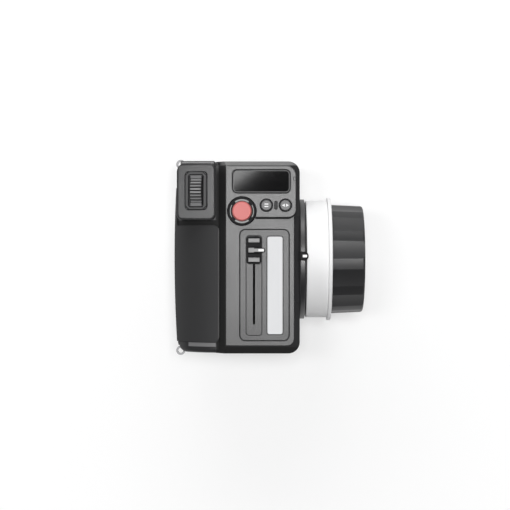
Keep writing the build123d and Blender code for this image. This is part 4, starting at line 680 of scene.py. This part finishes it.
for key in ("menu", "preset"):
    low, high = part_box(key + "_button")
    centre = Vector(((low.x + high.x) / 2, (low.y + high.y) / 2, 0))
    collar = flat_ring(3.5 * MM, 4.35 * MM, plate_top - 3 * proud, plate_top + proud)
    add_piece(key + "_collar", spun(collar, centre, "Z"), "case", "trim_plastic")
print("seals: slider, track, strip, glass, status window and two buttons")

# %% Painted shadow under the display plate
# The raised plate casts a shadow on the panel along its lower edge; a black bead there is that shadow,
# painted.
record_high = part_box("record_bezel")[1]
shadow_width = 1.0 * MM
low = plate_low - Vector((0, shadow_width, 0))
gap = bead(low, plate_high, 5.6 * MM, shadow_width, face_z - proud, face_z + proud)
for place, outward in (
    (Vector((record_high.x - 0.8 * MM, 0, 0)), Vector((-1, 0, 0))),
    (Vector((0, plate_low.y + 4.5 * MM, 0)), Vector((0, 1, 0))),
):
    everything = gap.verts[:] + gap.edges[:] + gap.faces[:]
    cut = bmesh.ops.bisect_plane(gap, geom=everything, plane_co=place, plane_no=outward, clear_outer=True)
    rim = [part for part in cut["geom_cut"] if isinstance(part, bmesh.types.BMEdge)]
    bmesh.ops.holes_fill(gap, edges=rim)
add_piece("plate_shadow_paint", gap, "case", "trim_plastic")
print("shadow gap under the plate")

# %% Cover beside the panel and catch of the plate
side_low = Vector((plate_high.x - 1.3 * MM, -29.0 * MM, 0))
side_high = Vector((plate_high.x + 2.5 * MM, plate_low.y + 1.2 * MM, 0))
cover = rounded_face(side_low, side_high, 1.7 * MM, face_z - 0.9 * MM)
thicken(cover, 0.5 * MM)
add_piece("side_cover", cover, "case", "trim_plastic")

catch_low = Vector((plate_high.x - 1.9 * MM, plate_high.y - 9.6 * MM, 0))
catch_high = Vector((plate_high.x + 0.2 * MM, plate_high.y - 7.2 * MM, 0))
catch = bead(catch_low, catch_high, 0.5 * MM, 0.4 * MM, plate_top - proud, plate_top + proud)
add_piece("plate_catch", catch, "case", "trim_plastic")
print("side cover and plate catch")

# %% [markdown]
# ## Marks on the buttons
# The small buttons carry printed marks. Plain pictograms stand in their place: two bars for a list and
# a pair of arrowheads for stepping through presets. They are flat pieces that ride on their buttons.

# %% Marks on the buttons
menu_low, menu_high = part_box("menu_button")
menu_centre = (menu_low + menu_high) / 2
mark_height = menu_high.z
for number, offset in enumerate((-0.75, 0.75)):
    middle = Vector((menu_centre.x, menu_centre.y + offset * MM, mark_height))
    half = Vector((1.25, 0.36, 0.02)) * MM
    mark = bar(middle - half, middle + half, 0.01 * MM)
    add_piece(f"menu_mark_{number}", mark, "menu_key", "white_plastic")

preset_low, preset_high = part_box("preset_button")
preset_centre = (preset_low + preset_high) / 2
for number, side in enumerate((-1, 1)):
    shape = bmesh.new()
    bmesh.ops.create_circle(shape, cap_ends=True, segments=3, radius=1.2 * MM)
    bmesh.ops.rotate(shape, verts=shape.verts, matrix=Matrix.Rotation(math.radians(-90 * side), 3, "Z"))
    place = Vector((preset_centre.x + side * 1.0 * MM, preset_centre.y, mark_height - 0.02 * MM))
    bmesh.ops.translate(shape, verts=shape.verts, vec=place)
    thicken(shape, 0.04 * MM)
    add_piece(f"preset_mark_{number}", shape, "preset_key", "white_plastic")
print("marks: two bars and two arrowheads")

# %% [markdown]
# ## The dial's window
# Two black seals outline the dial's bezel and its window, and two plain blocks close the window's ends,
# over the falling sides of the dial. They are made flat in the dial's own frame and then leaned with the
# pod, whose angle the dial's joint gives.

# %% Dial window
lean = Matrix.Translation(dial_hub) @ Matrix.Rotation(-math.atan2(dial_axle.z, dial_axle.x), 4, "Y")
pod_face = dial_radius - 2.2 * MM
bezel_face = pod_face + 0.6 * MM
outlines = {
    "bezel_outline": (Vector((7.5, 12.6, 0)) * MM, 2.8 * MM, 0.7 * MM, pod_face),
    "window_outline": (Vector((5.1, 10.7, 0)) * MM, 1.6 * MM, 0.7 * MM, bezel_face),
}
for name, (half, corner, width, height) in outlines.items():
    outline = bead(-half, half, corner, width, height - proud, height + proud)
    bmesh.ops.transform(outline, matrix=lean, verts=outline.verts)
    add_piece(name, outline, "case", "trim_plastic")
end_half = 3.7 * MM
for side in (-1, 1):
    ends = sorted((side * 7.6 * MM, side * 10.0 * MM))
    block_low = Vector((-end_half, ends[0], pod_face))
    block_high = Vector((end_half, ends[1], pod_face + 0.5 * MM))
    block = bar(block_low, block_high, 0.3 * MM)
    bmesh.ops.transform(block, matrix=lean, verts=block.verts)
    add_piece("dial_end_low" if side < 0 else "dial_end_high", block, "case", "key_plastic")
print("dial window: two outlines and two ends")

# %% [markdown]
# ## The other sides
# The knob's end cap has two turned rings, the power button has its usual sign of a ring with a bar, and
# the battery has thumb ribs on the end that it is pulled by. A rim runs along the case above the dial pod.

# %% Knob end and power button
end_low, end_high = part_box("knob_end_cap")
end_centre = Vector((0, (end_low.y + end_high.y) / 2, (end_low.z + end_high.z) / 2))
end_radius = (end_high.y - end_low.y) / 2
for name, share in (("end_ring_outer", 0.86), ("end_ring_inner", 0.34)):
    inner = share * end_radius
    ring = flat_ring(inner, inner + 0.7 * MM, end_high.x - proud, end_high.x + proud)
    add_piece(name, spun(ring, end_centre, "X"), "knob", "key_plastic")

power_low, power_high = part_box("power_button")
power_centre = Vector(((power_low.x + power_high.x) / 2, 0, (power_low.z + power_high.z) / 2))
sign = flat_ring(1.2 * MM, 1.6 * MM, power_low.y - 0.03 * MM, power_low.y + 0.03 * MM)
add_piece("power_ring", spun(sign, power_centre, "Y"), "power_key", "white_plastic")
bar_low = power_centre + Vector((-0.22 * MM, power_low.y - 0.035 * MM, 0.5 * MM))
bar_high = power_centre + Vector((0.22 * MM, power_low.y + 0.035 * MM, 2.1 * MM))
add_piece("power_bar", bar(bar_low, bar_high, 0.01 * MM), "power_key", "white_plastic")
print("end rings: 2, power sign: 2 pieces")

# %% Battery ribs
pack_low, pack_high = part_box("battery_pack")
pack_middle = (pack_low + pack_high) / 2
for number in range(5):
    rib_z = pack_low.z + (3 + 1.8 * number) * MM
    rib_low = Vector((pack_middle.x - 11 * MM, pack_low.y - 0.5 * MM, rib_z))
    rib_high = Vector((pack_middle.x + 11 * MM, pack_low.y + 0.3 * MM, rib_z + 0.9 * MM))
    add_piece(f"battery_rib_{number}", bar(rib_low, rib_high, 0.3 * MM), "battery", "battery_plastic")
print("battery ribs: 5, at the end", round(pack_low.y / MM, 1), "mm")

# %% Rim above the pod
pod_low, pod_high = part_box("dial_pod")
rim_bottom = pod_low.z + 0.62 * (pod_high.z - pod_low.z)
rim_low = Vector((pod_low.x + 2.5 * MM, pod_high.y - 0.6 * MM, rim_bottom))
rim_high = Vector((pod_high.x - 0.5 * MM, pod_high.y + 1.5 * MM, pod_high.z - 3.4 * MM))
add_piece("pod_rim", bar(rim_low, rim_high, 0.5 * MM), "case", "panel_plastic")
print("pod rim:", [round(value / MM, 1) for value in rim_low], [round(value / MM, 1) for value in rim_high])
